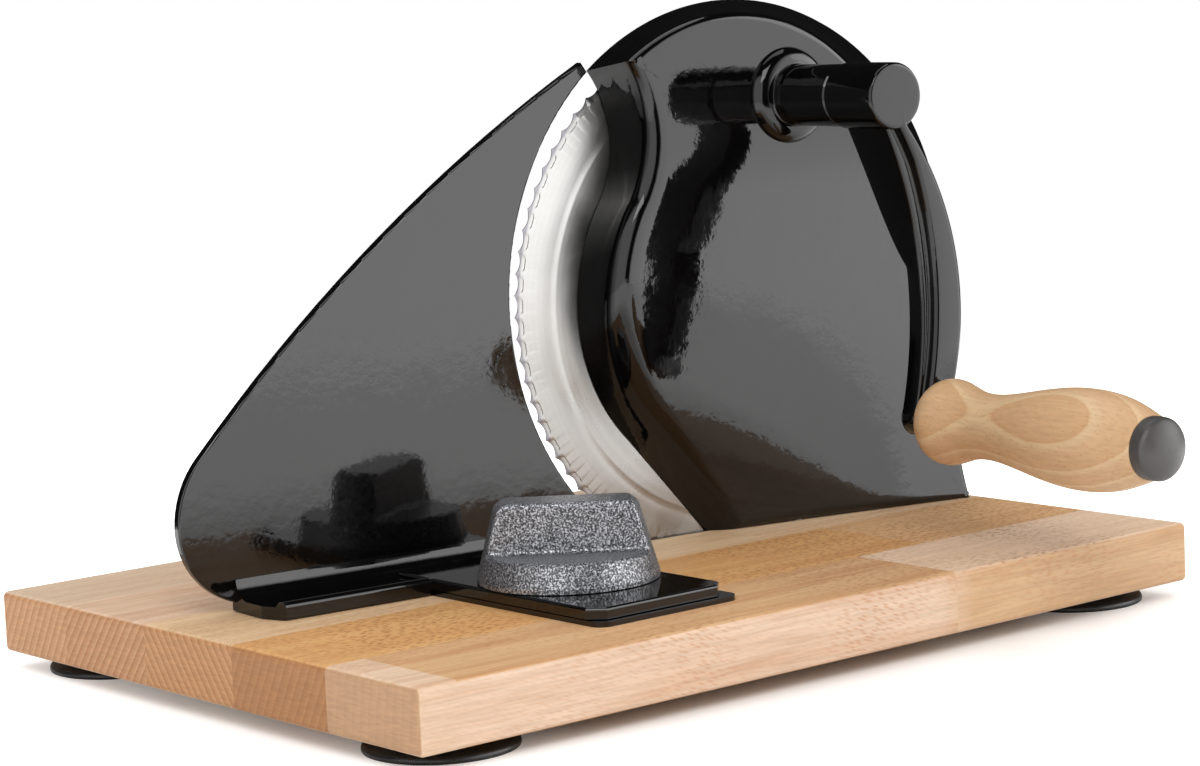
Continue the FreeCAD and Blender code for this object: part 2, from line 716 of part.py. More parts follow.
line_of_centres = 90.0 - S.crank_lean.number
blade_gear_rim = gear_rim("Blade_gear_rim", S.blade_teeth, line_of_centres,
                          S.gear_web_radius, S.blade_u, S.blade_w)
blade_bore = S.axle_radius + S.running_fit + S.bush_wall
blade_gear_web = turned("Blade_gear_web", [
    (blade_bore, -blade_front),
    (S.spigot_radius, -blade_front),
    (S.spigot_radius, blade_front),
    (S.blade_screw_circle + 7, blade_front),
    (S.blade_screw_circle + 7, gear_back),
    (S.gear_web_radius + 1, gear_back),
    (S.gear_web_radius + 1, gear_back + S.gear_web_thick),
    (S.gear_hub_radius, gear_back + S.gear_web_thick),
    (S.gear_hub_radius, S.gear_hub_length),
    (blade_bore, S.gear_hub_length),
], S.blade_u, S.blade_w)
blade_gear = cut("Blade_gear_bored", fuse("Blade_gear_solid", [blade_gear_web, blade_gear_rim]),
                 screw_tools("Gear_screw_hole"))
piece(in_unit(blade_gear), "blade_gear")
turned_piece("Blade_bush", [
    (S.axle_radius + S.running_fit, -blade_front),
    (blade_bore, -blade_front),
    (blade_bore, S.gear_hub_length),
    (S.axle_radius + S.running_fit, S.gear_hub_length),
], S.blade_u, S.blade_w, "blade_bush")
for i, (u, w) in enumerate(blade_screw_spots, 1):
    turned_piece("Blade_screw_%d" % i, screw_path(-blade_front, screw_end), u, w,
                 "blade_screw_%d" % i)

crank_gear_rim = gear_rim("Crank_gear_rim", S.crank_teeth,
                          line_of_centres + 180.0 + 180.0 / S.crank_teeth.number,
                          S.shaft_radius, crank_u, crank_w)
crank_gear_hub = turned("Crank_gear_hub", [
    (S.shaft_radius, gear_front - 0.5),
    (S.shaft_radius + 4, gear_front - 0.5),
    (S.shaft_radius + 4, gear_front + gear_hub_reach - S.side_gap),
    (S.shaft_radius, gear_front + gear_hub_reach - S.side_gap),
], crank_u, crank_w)
gear_pin_reach = gear_front + gear_hub_reach / 2
gear_pin_length = (S.shaft_radius + 4) * 2 - 1
gear_pin_low = crank_w - gear_pin_length / 2


def gear_pin_rod(name):
    return rod(name, S.cross_pin_radius, gear_pin_length, crank_u, -gear_pin_reach,
               gear_pin_low)


crank_gear = cut("Crank_gear_bored", fuse("Crank_gear_solid", [crank_gear_rim, crank_gear_hub]),
                 [gear_pin_rod("Gear_pin_hole")])
piece(in_unit(crank_gear), "crank_gear")
pin = doc.addObject("Part::Cylinder", "Gear_pin")
bind(pin, Radius=S.cross_pin_radius, Height=gear_pin_length)
piece(in_unit(pin, crank_u, -gear_pin_reach, gear_pin_low), "crank_gear_pin")


# Crank: shaft, cast arm with its hub, pin, spindle and wooden grip

shaft_end = hub_front - S.hub_cap
hub_pin_reach = hub_back + 7.0
hub_pin_start = crank_u - S.shaft_radius + 1.0
hub_pin_length = S.hub_radius + S.shaft_radius - 1.6


def hub_pin_rod(name):
    return rod(name, S.cross_pin_radius, hub_pin_length, hub_pin_start, -hub_pin_reach,
               crank_w, ALONG_X)


shaft = turned("Shaft", [
    (0, gear_back),
    (S.shaft_radius, gear_back),
    (S.shaft_radius, shaft_end - 0.8),
    (S.shaft_radius - 0.8, shaft_end),
    (0, shaft_end),
], crank_u, crank_w)
piece(in_unit(cut("Shaft_bored", shaft, [gear_pin_rod("Shaft_hole_1"),
                                         hub_pin_rod("Shaft_hole_2")])), "crank_shaft")
pin = doc.addObject("Part::Cylinder", "Hub_pin")
bind(pin, Radius=S.cross_pin_radius, Height=hub_pin_length)
piece(in_unit(pin, hub_pin_start, -hub_pin_reach, crank_w, ALONG_X), "crank_hub_pin")

arm_front = hub_front - S.arm_rib
hub = turned("Hub", [
    (0, hub_back),
    (S.hub_radius - 0.6, hub_back),
    (S.hub_radius, hub_back + 0.6),
    (S.hub_radius, hub_front - 1.2, 1.2, 1),
    (S.hub_radius - 1.2, hub_front),
    (0, hub_front),
], crank_u, crank_w)


def arm_sketch(owner, name, left_in, start):
    # a bowed bar from the hub down to the spindle, in the plane of the crank's sweep
    r = S.arm_end_radius
    top = crank_w - 10.4
    return outline(owner, name, "XZ_Plane", [
        (crank_u - 6.0 + left_in * 0.8, crank_w - 3.0, 150.0, -1),
        (grip_u - r + left_in * 0.25, grip_w + 1.0),
        (grip_u - r + left_in * 0.25, grip_w, r, 1),
        (grip_u + r, grip_w),
        (grip_u + r, grip_w + 1.0, S.arm_bow_radius, 1),
        (crank_u + 5.6, top),
        (crank_u + 2.0, crank_w - 2.0),
    ], start)


arm_body = body("Arm_bar")
pad(arm_body, "Arm_bar_pad", arm_sketch(arm_body, "Arm_bar_outline", size(0), hub_back),
    arm_front - hub_back)
side_body = body("Arm_side")
side_sketch = outline(side_body, "Arm_side_outline", "YZ_Plane", [
    (-arm_back, grip_w - 20),
    (-arm_back, crank_w - S.arm_side_drop, S.arm_side_radius, 1),
    (-hub_back, crank_w - 11.0),
    (-hub_back, crank_w),
    (-arm_front - 1, crank_w),
    (-arm_front - 1, grip_w - 20),
])
pad(side_body, "Arm_side_pad", side_sketch, 200.0)
rib_body = body("Arm_rib")
pad(rib_body, "Arm_rib_pad", arm_sketch(rib_body, "Arm_rib_outline", size(6.5),
                                        arm_front - 0.5), S.arm_rib + 0.5)
arm_solid = fuse("Arm_solid", [hub, common("Arm_bar_shaped", arm_body, side_body), rib_body])
arm_bores = [
    turned("Hub_bore", [
        (0, hub_back - 1), (S.shaft_radius, hub_back - 1), (S.shaft_radius, shaft_end),
        (0, shaft_end),
    ], crank_u, crank_w),
    turned("Spindle_bore", [
        (0, arm_back - 1), (S.spindle_radius, arm_back - 1),
        (S.spindle_radius, hub_front + 1), (0, hub_front + 1),
    ], grip_u, grip_w),
    hub_pin_rod("Hub_pin_hole"),
]
piece(in_unit(cut("Arm_bored", arm_solid, arm_bores)), "crank_arm")

recess_floor = grip_front - S.grip_recess_depth
nut_back = recess_floor + S.side_gap
turned_piece("Spindle", [
    (0, arm_back - S.spindle_head),
    (S.spindle_head_radius - 1, arm_back - S.spindle_head),
    (S.spindle_head_radius, arm_back),
    (S.spindle_radius, arm_back),
    (S.spindle_radius, nut_back),
    (S.spindle_radius - 1, nut_back),
    (S.spindle_radius - 1, nut_back + S.grip_nut_thick + 0.5),
    (0, nut_back + S.grip_nut_thick + 0.5),
], grip_u, grip_w, "handle_spindle")
turned_piece("Grip_nut", [
    (S.spindle_radius - 1, nut_back),
    (S.grip_nut_radius, nut_back),
    (S.grip_nut_radius, nut_back + S.grip_nut_thick - 0.8),
    (S.grip_nut_radius - 0.8, nut_back + S.grip_nut_thick),
    (S.spindle_radius - 1, nut_back + S.grip_nut_thick),
], grip_u, grip_w, "handle_nut")

grip_bore = S.spindle_radius + S.running_fit
turned_piece("Grip", [
    (grip_bore, grip_back),
    (S.grip_bulb - 4.3, grip_back, 10.0, 1),
    (S.grip_bulb - 0.8, grip_back + 12.1, 38.4, -1),
    (S.grip_neck + 1.3, grip_back + 36.9, 136.0, 1),
    (S.grip_belly - 0.6, grip_front - 22.0, 76.0, 1),
    (S.grip_end + 0.6, grip_front - 0.6),
    (S.grip_end, grip_front),
    (S.grip_recess_radius, grip_front),
    (S.grip_recess_radius, recess_floor),
    (grip_bore, recess_floor),
], grip_u, grip_w, "handle_grip")
dome_radius = (S.grip_end * S.grip_end + S.cap_dome * S.cap_dome) / (S.cap_dome * 2)
turned_piece("End_cap", [
    (0, grip_front - S.cap_plug),
    (S.grip_recess_radius, grip_front - S.cap_plug),
    (S.grip_recess_radius, grip_front),
    (S.grip_end, grip_front),
    (S.grip_end, grip_front + S.cap_skirt, dome_radius, 1),
    (0, handle_tip),
], grip_u, grip_w, "handle_end_cap")


# Fence: an upright plate close in front of the blade, its foot flange and the slide,
# one casting that runs square to the board's near edge

fence_low = slide_low + 0.2
fence_back = blade_front + S.fence_gap
fence_front = fence_back + S.fence_thick
flange_front = fence_front + S.flange_depth
edge_foot = S.blade_u - root(S.fence_edge_radius * S.fence_edge_radius
                             - (S.blade_w - fence_low) * (S.blade_w - fence_low))
plate = body("Fence_plate")
plate_sketch = outline(plate, "Fence_outline", "XZ_Plane", [
    (-184.0, fence_low),
    (edge_foot, fence_low, S.fence_edge_radius + 4.5, -1),
    (S.blade_u - 67.6, S.blade_w + 85.4),
    (S.blade_u - 70.1, S.blade_w + 88.9, 627.0, 1),
    (-201.3, 53.0, 34.0, 1),
    (-210.3, 31.0, 28.5, 1),
], fence_back)
plate_pad = pad(plate, "Fence_pad", plate_sketch, S.fence_thick)
rounded(plate, "Fence_round", plate_pad, 0.8, lambda edge: (
    edge.BoundBox.YLength < 0.01 and edge.CenterOfMass.y < -fence_front.number + 0.01
    and edge.CenterOfMass.z > 8.0))
in_unit(plate)

flange = body("Fence_flange")
flange_sketch = outline(flange, "Flange_profile", "YZ_Plane", [
    (-flange_front, S.flange_lift + 0.6),
    (-flange_front + 0.6, S.flange_lift),
    (-fence_back, S.flange_lift),
    (-fence_back, fence_low + 9.0),
    (-fence_front, fence_low + 9.0, 7.0, -1),
    (-fence_front - S.flange_fillet, S.flange_lift + S.flange_thick),
    (-flange_front + 4.0, S.flange_lift + S.flange_thick),
    (-flange_front + 3.0, S.flange_lift + S.flange_thick + S.flange_bead, 1.9, 1),
    (-flange_front, S.flange_lift + S.flange_thick - 0.2),
])
flange_pad = pad(flange, "Flange_pad", flange_sketch, 118.0)
place(flange, -190.0, 0.0, 0.0)
nose_cut = body("Flange_nose")
pad(nose_cut, "Flange_nose_pad", outline(nose_cut, "Flange_nose_outline", "XY_Plane", [
    (-191.0, -flange_front - 1),
    (-185.5, -flange_front - 1),
    (-190.2, -flange_front + 10.0),
    (-191.0, -flange_front + 10.0),
]), 20.0)
over_guide = on_board(block(
    "Over_guide", S.guide_wide + 2, 80.0, slide_low, S.guide_x - 1, 80.0, 0.0),
    S.guide_x - 1, 80.0, 0.0)
bead_trim = on_board(block("Bead_trim", S.guide_wide + 2, 44.0, 3.0), S.guide_x - 1, 80.0,
                     slide_high)
flange_cut = in_unit(cut("Flange_trimmed", flange, [nose_cut]))
foot_part = cut("Flange_over_guide", flange_cut, [over_guide, bead_trim])

slide_x = S.guide_x + 0.2
slide_y = S.guide_y + S.slide_front
slide = body("Slide")
slide_pad = pad(slide, "Slide_pad", outline(slide, "Slide_outline", "XY_Plane", [
    (0, 5.0),
    (5.0, 0),
    (S.slide_wide - 5.0, 0),
    (S.slide_wide, 5.0),
    (S.slide_wide, S.unit_y - slide_y - 0.5),
    (0, S.unit_y - slide_y - 0.5),
]), S.slide_thick)
rounded(slide, "Slide_round", slide_pad, 1.0, lambda edge: (
    edge.CenterOfMass.z > S.slide_thick.number - 0.01 and edge.CenterOfMass.y < 100.0
    and edge.BoundBox.ZLength < 0.01))
on_board(slide, slide_x, slide_y, slide_low)
key = block("Slide_key", S.key_width, S.key_length, slide_low + 0.5 + S.key_drop)
on_board(key, S.knob_x - S.key_width / 2, S.key_start, key_low)

pivot_slot = on_board(group("Pivot_slot", [
    rod("Pivot_slot_near", sleeve_run, 20.0, S.knob_x, S.knob_y, -1.0),
    rod("Pivot_slot_far", sleeve_run, 20.0, S.knob_x, S.knob_y + S.stroke, -1.0),
    block("Pivot_slot_middle", sleeve_run * 2, S.stroke, 20.0, S.knob_x - sleeve_run,
          S.knob_y, -1.0),
]))
follower_y = S.knob_y - S.spiral_start
follower_hole = on_board(rod("Follower_hole", S.follower_radius, 20.0), S.knob_x, follower_y,
                         -1.0)
keeper_y = S.key_start + (S.key_length - S.keeper_length) / 2
keeper_spots = [keeper_y + 5.0, keeper_y + S.keeper_length - 5.0]
keeper_holes = on_board(group("Keeper_threads", [
    rod("Keeper_thread_%d" % i, S.keeper_screw_radius, slide_low + 1.0 - key_low, S.knob_x, y,
        key_low) for i, y in enumerate(keeper_spots, 1)]))
fence = cut("Fence_bored", fuse("Fence_solid", [plate, foot_part, slide, key]),
            [pivot_slot, follower_hole, keeper_holes])
piece(fence, "gauge_fence")

follower = doc.addObject("Part::Cylinder", "Follower")
bind(follower, Radius=S.follower_radius,
     Height=S.slide_thick + S.side_gap + S.groove_depth - S.follower_top_gap)
piece(on_board(follower, S.knob_x, follower_y, slide_low), "follower_pin")

keeper_low = key_low - S.keeper_thick
keeper_holes_2 = group("Keeper_holes", [
    rod("Keeper_hole_%d" % i, S.keeper_screw_radius, 10.0, S.knob_x, y, keeper_low - 1)
    for i, y in enumerate(keeper_spots, 1)])
keeper = cut("Keeper_bored", block(
    "Keeper", S.keeper_width, S.keeper_length, S.keeper_thick,
    S.knob_x - S.keeper_width / 2, keeper_y, keeper_low), [keeper_holes_2])
piece(on_board(keeper), "slide_keeper")
for i, y in enumerate(keeper_spots, 1):
    screw = spun("Keeper_screw_%d" % i, [
        (0, keeper_low - S.keeper_screw_head_thick),
        (S.keeper_screw_head, keeper_low - S.keeper_screw_head_thick),
        (S.keeper_screw_head, keeper_low),
        (S.keeper_screw_radius, keeper_low),
        (S.keeper_screw_radius, slide_low + 1.0),
        (0, slide_low + 1.0),
    ])
    piece(on_board(screw, S.knob_x, y, 0.0), "keeper_screw_%d" % i)


# Guide plate on the board, under the slide

guide = body("Guide")
guide_pad = pad(guide, "Guide_pad", outline(guide, "Guide_outline", "XY_Plane", [
    (0, 0),
    (S.guide_wide, 0),
    (S.guide_wide, S.guide_length),
    (0, S.guide_length),
]), S.guide_thick)
rounded(guide, "Guide_corners", guide_pad, S.guide_corner, lambda edge: (
    edge.BoundBox.ZLength > 1.0))
on_board(guide, S.guide_x, S.guide_y, 0.0)


def guide_screw(name, top):
    return spun(name, [
        (0, -S.guide_screw_length),
        (S.guide_screw_radius, 1.5 - S.guide_screw_length),
        (S.guide_screw_radius, 0.2),
        (S.guide_screw_head, top),
        (0, top),
    ])


guide_cuts = [
    block("Key_slot", S.key_width + S.running_fit * 2, key_run + S.side_gap * 2, 10.0,
          S.knob_x - S.key_width / 2 - S.running_fit, S.key_start - S.stroke - S.side_gap, -1.0),
    rod("Sleeve_seat", S.sleeve_radius, 10.0, S.knob_x, S.knob_y, -1.0),
]
for i, (x, y) in enumerate(guide_spots, 1):
    guide_cuts.append(place(guide_screw("Guide_sink_%d" % i, S.guide_thick), x, y, 0.0))
piece(cut("Guide_bored", guide, [on_board(group("Guide_cuts", guide_cuts))]), "guide_plate")
for i, (x, y) in enumerate(guide_spots, 1):
    piece(on_board(guide_screw("Guide_screw_%d" % i, S.guide_thick), x, y, 0.0),
          "guide_screw_%d" % i)


# Thickness knob with the spiral groove in its underside

knob = body("Knob")
knob_turned = spin(knob, "Knob_turn", outline(knob, "Knob_profile", "XZ_Plane", [
    (0, 0),
    (S.knob_radius, 0),
    (S.knob_radius, S.knob_rim),
    (S.knob_top_radius, S.knob_height),
    (0, S.knob_height),
]), "V_Axis")
knob_edge = rounded(knob, "Knob_top_round", knob_turned, S.knob_round, lambda edge: (
    edge.CenterOfMass.z > S.knob_height.number - 0.01 and edge.BoundBox.XLength > 10.0))
for side, low, high in (("Near", -45.0, -S.knob_wing / 2), ("Far", S.knob_wing / 2, 45.0)):
    side_sketch = outline(knob, "Knob_%s_outline" % side, "YZ_Plane", [
        (low, S.knob_skirt),
        (high, S.knob_skirt),
        (high, S.knob_height + 5),
        (low, S.knob_height + 5),
    ])
    cheek = pocket(knob, "Knob_%s_cheek" % side, side_sketch, 200.0)
    cheek.Midplane = True
doc.recompute()
rounded(knob, "Knob_soft", knob.Tip, 1.6, lambda edge: (
    edge.CenterOfMass.z > S.knob_skirt.number - 0.01 and edge.BoundBox.DiagonalLength > 12.0))
in_place_turn = FreeCAD.Rotation(UP_Z, S.knob_rest.number)
place(knob, 0.0, 0.0, 0.0)


def spiral_groove(start, step, turn, first, half_width, depth):
    # first: angle of the inner end; the radius grows clockwise by step a radian
    def point(a, off):
        r = start + step * a
        angle = first - a
        radial = Vector(math.cos(angle), math.sin(angle), 0)
        across = Vector(math.sin(angle), -math.cos(angle), 0)
        way = radial * step + across * r
        way.normalize()
        return radial * r + Vector(way.y, -way.x, 0) * off
    count = 31
    steps = [turn * i / (count - 1) for i in range(count)]
    inner = Part.BSplineCurve()
    inner.interpolate([point(a, half_width) for a in steps])
    outer = Part.BSplineCurve()
    outer.interpolate([point(a, -half_width) for a in reversed(steps)])
    runs = [inner.toShape(),
            Part.makeLine(point(turn, half_width), point(turn, -half_width)),
            outer.toShape(),
            Part.makeLine(point(0.0, -half_width), point(0.0, half_width))]
    solid = Part.Face(Part.Wire(runs)).extrude(Vector(0, 0, depth))
    for a in (0.0, turn):
        end = Part.makeCylinder(half_width, depth, point(a, 0.0))
        solid = solid.fuse(end)
    return solid.removeSplitter()


groove = doc.addObject("Part::Feature", "Spiral_groove")
turn = math.radians(S.knob_turn.number)
groove.Shape = spiral_groove(
    S.spiral_start.number, S.stroke.number / turn, turn,
    math.radians(-90.0 - S.knob_rest.number), S.follower_radius.number + S.running_fit.number,
    S.groove_depth.number + 1.0)
groove.Placement = FreeCAD.Placement(Vector(0, 0, -1.0), FreeCAD.Rotation())
pivot_hole = rod("Pivot_hole", S.pivot_radius, S.pivot_grip + 1, 0.0, 0.0, -1.0)
knob_bored = cut("Knob_bored", knob, [groove, pivot_hole])
place(knob_bored, left_x + S.knob_x, near_y + S.knob_y, deck + knob_low, in_place_turn)
piece(knob_bored, "thickness_knob")

well_top = -S.board_thick + S.nut_well_depth
pivot_washer_top = well_top - S.side_gap
pivot_spring_top = pivot_washer_top - S.pivot_washer_thick
pivot_nut_top = pivot_spring_top - S.pivot_spring_thick
sleeve = spun("Sleeve", [
    (S.pivot_radius + S.running_fit, well_top),
    (S.sleeve_radius, well_top),
    (S.sleeve_radius, slide_high),
    (S.pivot_radius + S.running_fit, slide_high),
])
piece(on_board(sleeve, S.knob_x, S.knob_y, 0.0), "pivot_sleeve")
pivot = spun("Pivot", [
    (0, pivot_nut_top - S.pivot_nut_thick - 0.3),
    (S.pivot_radius, pivot_nut_top - S.pivot_nut_thick - 0.3),
    (S.pivot_radius, knob_low + S.pivot_grip),
    (0, knob_low + S.pivot_grip),
])
piece(on_board(pivot, S.knob_x, S.knob_y, 0.0), "knob_pivot")
for name, radius, top, thick, label in (
        ("Pivot_washer", S.pivot_washer_radius, pivot_washer_top, S.pivot_washer_thick,
         "pivot_washer"),
        ("Pivot_spring", S.pivot_spring_radius, pivot_spring_top, S.pivot_spring_thick,
         "pivot_spring_washer")):
    ring = spun(name, [
        (S.pivot_radius, top - thick),
        (radius, top - thick),
        (radius, top),
        (S.pivot_radius, top),
    ])
    piece(on_board(ring, S.knob_x, S.knob_y, 0.0), label)
nut = doc.addObject("Part::Prism", "Pivot_nut_hexagon")
nut.Polygon = 6
bind(nut, Circumradius=S.pivot_nut_flats / math.sqrt(3.0), Height=S.pivot_nut_thick)
nut_bored = cut("Pivot_nut", nut, [rod("Pivot_nut_hole", S.pivot_radius, 20.0, 0, 0, -5.0)])
piece(on_board(nut_bored, S.knob_x, S.knob_y, pivot_nut_top - S.pivot_nut_thick), "pivot_nut")


# Check and write

doc.recompute()
for obj in doc.Objects:
    if "Invalid" in obj.State or "Error" in obj.State:
        raise RuntimeError("%s: %s" % (obj.Name, obj.State))
os.makedirs("parts", exist_ok=True)
for obj, label in PIECES:
    shape = obj.Shape
    if shape.isNull() or not shape.isValid() or len(shape.Solids) != 1:
        raise RuntimeError("%s: not one sound solid (%d)" % (label, len(shape.Solids)))
    shape.exportStep("parts/%s.step" % label)
print(len(PIECES), "pieces")
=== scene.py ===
import json
import bpy
import numpy as np
from mathutils import Matrix


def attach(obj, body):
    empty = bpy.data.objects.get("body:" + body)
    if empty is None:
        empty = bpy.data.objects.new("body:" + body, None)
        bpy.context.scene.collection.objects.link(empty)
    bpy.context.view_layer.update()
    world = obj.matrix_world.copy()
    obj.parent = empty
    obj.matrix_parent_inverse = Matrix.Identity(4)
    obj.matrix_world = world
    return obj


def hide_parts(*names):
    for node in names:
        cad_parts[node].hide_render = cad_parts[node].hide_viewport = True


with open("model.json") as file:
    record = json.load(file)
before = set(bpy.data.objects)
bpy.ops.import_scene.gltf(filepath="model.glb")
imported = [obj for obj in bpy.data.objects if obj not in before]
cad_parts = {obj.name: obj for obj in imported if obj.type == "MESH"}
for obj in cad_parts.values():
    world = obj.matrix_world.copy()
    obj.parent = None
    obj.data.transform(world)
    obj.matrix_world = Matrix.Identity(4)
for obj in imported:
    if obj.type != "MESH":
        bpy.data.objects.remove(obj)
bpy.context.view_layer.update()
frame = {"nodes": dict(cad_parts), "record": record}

mm = 0.001

# The blade, housing, crank and fence plate share one upright plane, turned a little on the board.
# u runs along the blade, v away from the handle, w up from the board's top, all in mm. The axle
# of the blade stands at (u, w).
unit = {"origin": (44.743, 46.122, 27.5), "yaw": -4.5, "axle": (31.2, 87.5)}
# where the left end and the near side of the board stand, in mm
board = {"left": -176.657, "near": -87.378}


def place(u, v, w):
    # turn by the unit's yaw about Z, then move to its origin
    c, s = np.cos(np.radians(unit["yaw"])), np.sin(np.radians(unit["yaw"]))
    x0, y0, z0 = unit["origin"]
    u, v, w = np.broadcast_arrays(u, v, w)
    return np.stack([x0 + u * c - v * s, y0 + u * s + v * c, z0 + w], -1) * mm


def hexColour(text):
    # sRGB to linear, channel by channel
    c = np.array([int(text[i:i + 2], 16) / 255 for i in (1, 3, 5)])
    c = np.where(c <= 0.04045, c / 12.92, ((c + 0.055) / 1.055) ** 2.4)
    return (*c.tolist(), 1.0)


# Camera: long lens, at the photograph's angle
camera = {"place": (-737.86, -854.01, 237.15), "azimuth": -39.699, "elevation": 7.2521,
          "roll": -2.5028, "focalPixels": 3261.9, "pixelsWide": 1200, "sensorMm": 36.0}


def makeCamera():
    # looks back along the azimuth and elevation, then rolls about its own axis; the lens is the
    # focal length in picture widths times the sensor's width
    a, e, r = np.radians([camera["azimuth"], camera["elevation"], camera["roll"]])
    back = np.array([np.sin(a) * np.cos(e), -np.cos(a) * np.cos(e), np.sin(e)])
    right = np.cross(-back, [0, 0, 1])
    right /= np.linalg.norm(right)
    up = np.cross(back, right)
    right, up = np.cos(r) * right + np.sin(r) * up, np.cos(r) * up - np.sin(r) * right
    data = bpy.data.cameras.new("camera")
    data.sensor_width = camera["sensorMm"]
    data.lens = camera["focalPixels"] / camera["pixelsWide"] * camera["sensorMm"]
    data.clip_start, data.clip_end = 0.01, 60.0
    made = bpy.data.objects.new("camera", data)
    turn = Matrix([list(row) for row in np.stack([right, up, back], 1)]).to_4x4()
    made.matrix_world = Matrix.Translation([p * mm for p in camera["place"]]) @ turn
    bpy.context.scene.collection.objects.link(made)
    bpy.context.scene.camera = made


makeCamera()
print("camera placed")


# Surfaces

def surface(name, grid, body, finish, replaced=(), loop=True, poles=(True, True), crease=38):
    # grid: rows of points; columns close on themselves where loop is set, and a row at a pole
    # shrinks to one point
    rows, cols = grid.shape[:2]
    index = np.arange(rows * cols).reshape(rows, cols)
    points = grid.reshape(-1, 3)
    if poles[0]:
        index[0] = 0
    if poles[1]:
        index[-1] = index[-1, 0]
    wide = np.hstack([index, index[:, :1]]) if loop else index
    a, b, c, d = wide[:-1, :-1], wide[:-1, 1:], wide[1:, 1:], wide[1:, :-1]
    faces = np.stack([a, b, c, d], -1).reshape(-1, 4)
    return build(name, points, faces, body, finish, replaced, crease)


def build(name, points, faces, body, finish, replaced=(), crease=38):
    # quads with two equal corners become triangles, unused points go, and faces point outwards
    used, back = np.unique(faces, return_inverse=True)
    points, faces = points[used], back.reshape(faces.shape)
    p = points[faces]
    volume = (np.einsum("ij,ij->i", p[:, 0], np.cross(p[:, 1], p[:, 2])).sum()
              + np.einsum("ij,ij->i", p[:, 0], np.cross(p[:, 2], p[:, 3])).sum())
    if volume < 0:
        faces = faces[:, ::-1]
    polygons = [list(dict.fromkeys(f)) for f in faces.tolist()]
    polygons = [f for f in polygons if len(f) > 2]
    mesh = bpy.data.meshes.new(name)
    mesh.from_pydata(points.tolist(), [], polygons)
    mesh.validate()
    mesh.shade_smooth()
    mesh.set_sharp_from_angle(angle=np.radians(crease))
    mesh.materials.append(finish)
    made = bpy.data.objects.new(name, mesh)
    bpy.context.scene.collection.objects.link(made)
    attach(made, body)
    if replaced:
        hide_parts(*replaced)
    return made


def smoothProfile(points, steps=8):
    # Catmull-Rom curve through the points; a point given twice stays a corner
    p = np.array(points, float)
    p = np.vstack([2 * p[0] - p[1], p, 2 * p[-1] - p[-2]])
    t = np.linspace(0, 1, steps, endpoint=False)[:, None]
    runs = []
    for a, b, c, d in zip(p[:-3], p[1:-2], p[2:-1], p[3:]):
        if np.allclose(b, c):
            continue
        if np.allclose(a, b):
            a = 2 * b - c
        if np.allclose(c, d):
            d = 2 * c - b
        runs.append(0.5 * (2 * b + (c - a) * t + (2 * a - 5 * b + 4 * c - d) * t ** 2
                           + (3 * b - a - 3 * c + d) * t ** 3))
    return np.vstack(runs + [p[-2][None]])


def turnedGrid(profile, u, w, segments=96):
    # lathe: radius times (cos, sin) across the plane, the second number runs to the front
    angle = np.linspace(0, 2 * np.pi, segments, endpoint=False)
    r, reach = profile[:, :1], profile[:, 1:]
    return place(u + r * np.cos(angle), -reach + 0 * angle, w + r * np.sin(angle))


def arcRun(p, q, radius, side, count):
    # circular arc from p to q; side +1 bulges to the right of the way, -1 to the left
    p, q = np.array(p, float), np.array(q, float)
    t = np.linspace(0, 1, count, endpoint=False)[:, None]
    if radius == 0:
        return p + (q - p) * t
    chord = q - p
    half = np.hypot(*chord) / 2
    right = np.array([chord[1], -chord[0]]) / (2 * half)
    centre = (p + q) / 2 - right * side * np.sqrt(radius ** 2 - half ** 2)
    first = np.arctan2(*(p - centre)[::-1])
    sweep = np.arctan2(*(q - centre)[::-1]) - first
    sweep = (sweep + np.pi) % (2 * np.pi) - np.pi
    a = first + sweep * t
    return centre + radius * np.hstack([np.cos(a), np.sin(a)])


def outlineRun(corners, counts):
    # corners as (u, w) or (u, w, radius, side) for the arc to the next corner
    runs = []
    for i, (corner, count) in enumerate(zip(corners, counts)):
        after = corners[(i + 1) % len(corners)]
        radius, side = corner[2:] if len(corner) == 4 else (0, 1)
        runs.append(arcRun(corner[:2], after[:2], radius, side, count))
    return np.vstack(runs)


def outwardNormals(outline):
    # across the mean of the two edges that meet at each point
    edge = np.roll(outline, -1, 0) - outline
    edge /= np.linalg.norm(edge, axis=1, keepdims=True)
    mean = edge + np.roll(edge, 1, 0)
    mean /= np.linalg.norm(mean, axis=1, keepdims=True)
    normal = np.stack([mean[:, 1], -mean[:, 0]], 1)
    area = (outline[:, 0] * np.roll(outline[:, 1], -1)
            - np.roll(outline[:, 0], -1) * outline[:, 1]).sum()
    return normal if area > 0 else -normal


# Materials

def newFinish(name):
    # an empty material and its node tree
    made = bpy.data.materials.new(name)
    made.use_nodes = True
    made.node_tree.nodes.clear()
    return made, made.node_tree


def addNode(tree, kind, sockets=None, stops=None, **settings):
    # a node with its settings; a socket that is given another socket is linked to it, and any
    # other value is set
    node = tree.nodes.new("ShaderNode" + kind)
    for key, value in settings.items():
        setattr(node, key, value)
    for key, value in (sockets or {}).items():
        if isinstance(value, bpy.types.NodeSocket):
            tree.links.new(value, node.inputs[key])
        else:
            node.inputs[key].default_value = value
    for i, (at, colour) in enumerate(stops or []):
        ramp = node.color_ramp.elements
        point = ramp[i] if i < len(ramp) else ramp.new(at)
        point.position, point.color = at, colour
    return node


def objectPlace(tree, turn=0.0, move=(0, 0, 0)):
    # Object coordinates, turned about Z by degrees and then moved
    where = addNode(tree, "TexCoord").outputs["Object"]
    return addNode(tree, "Mapping", {"Vector": where, "Rotation": (0, 0, np.radians(turn)),
                                     "Location": move}).outputs["Vector"]


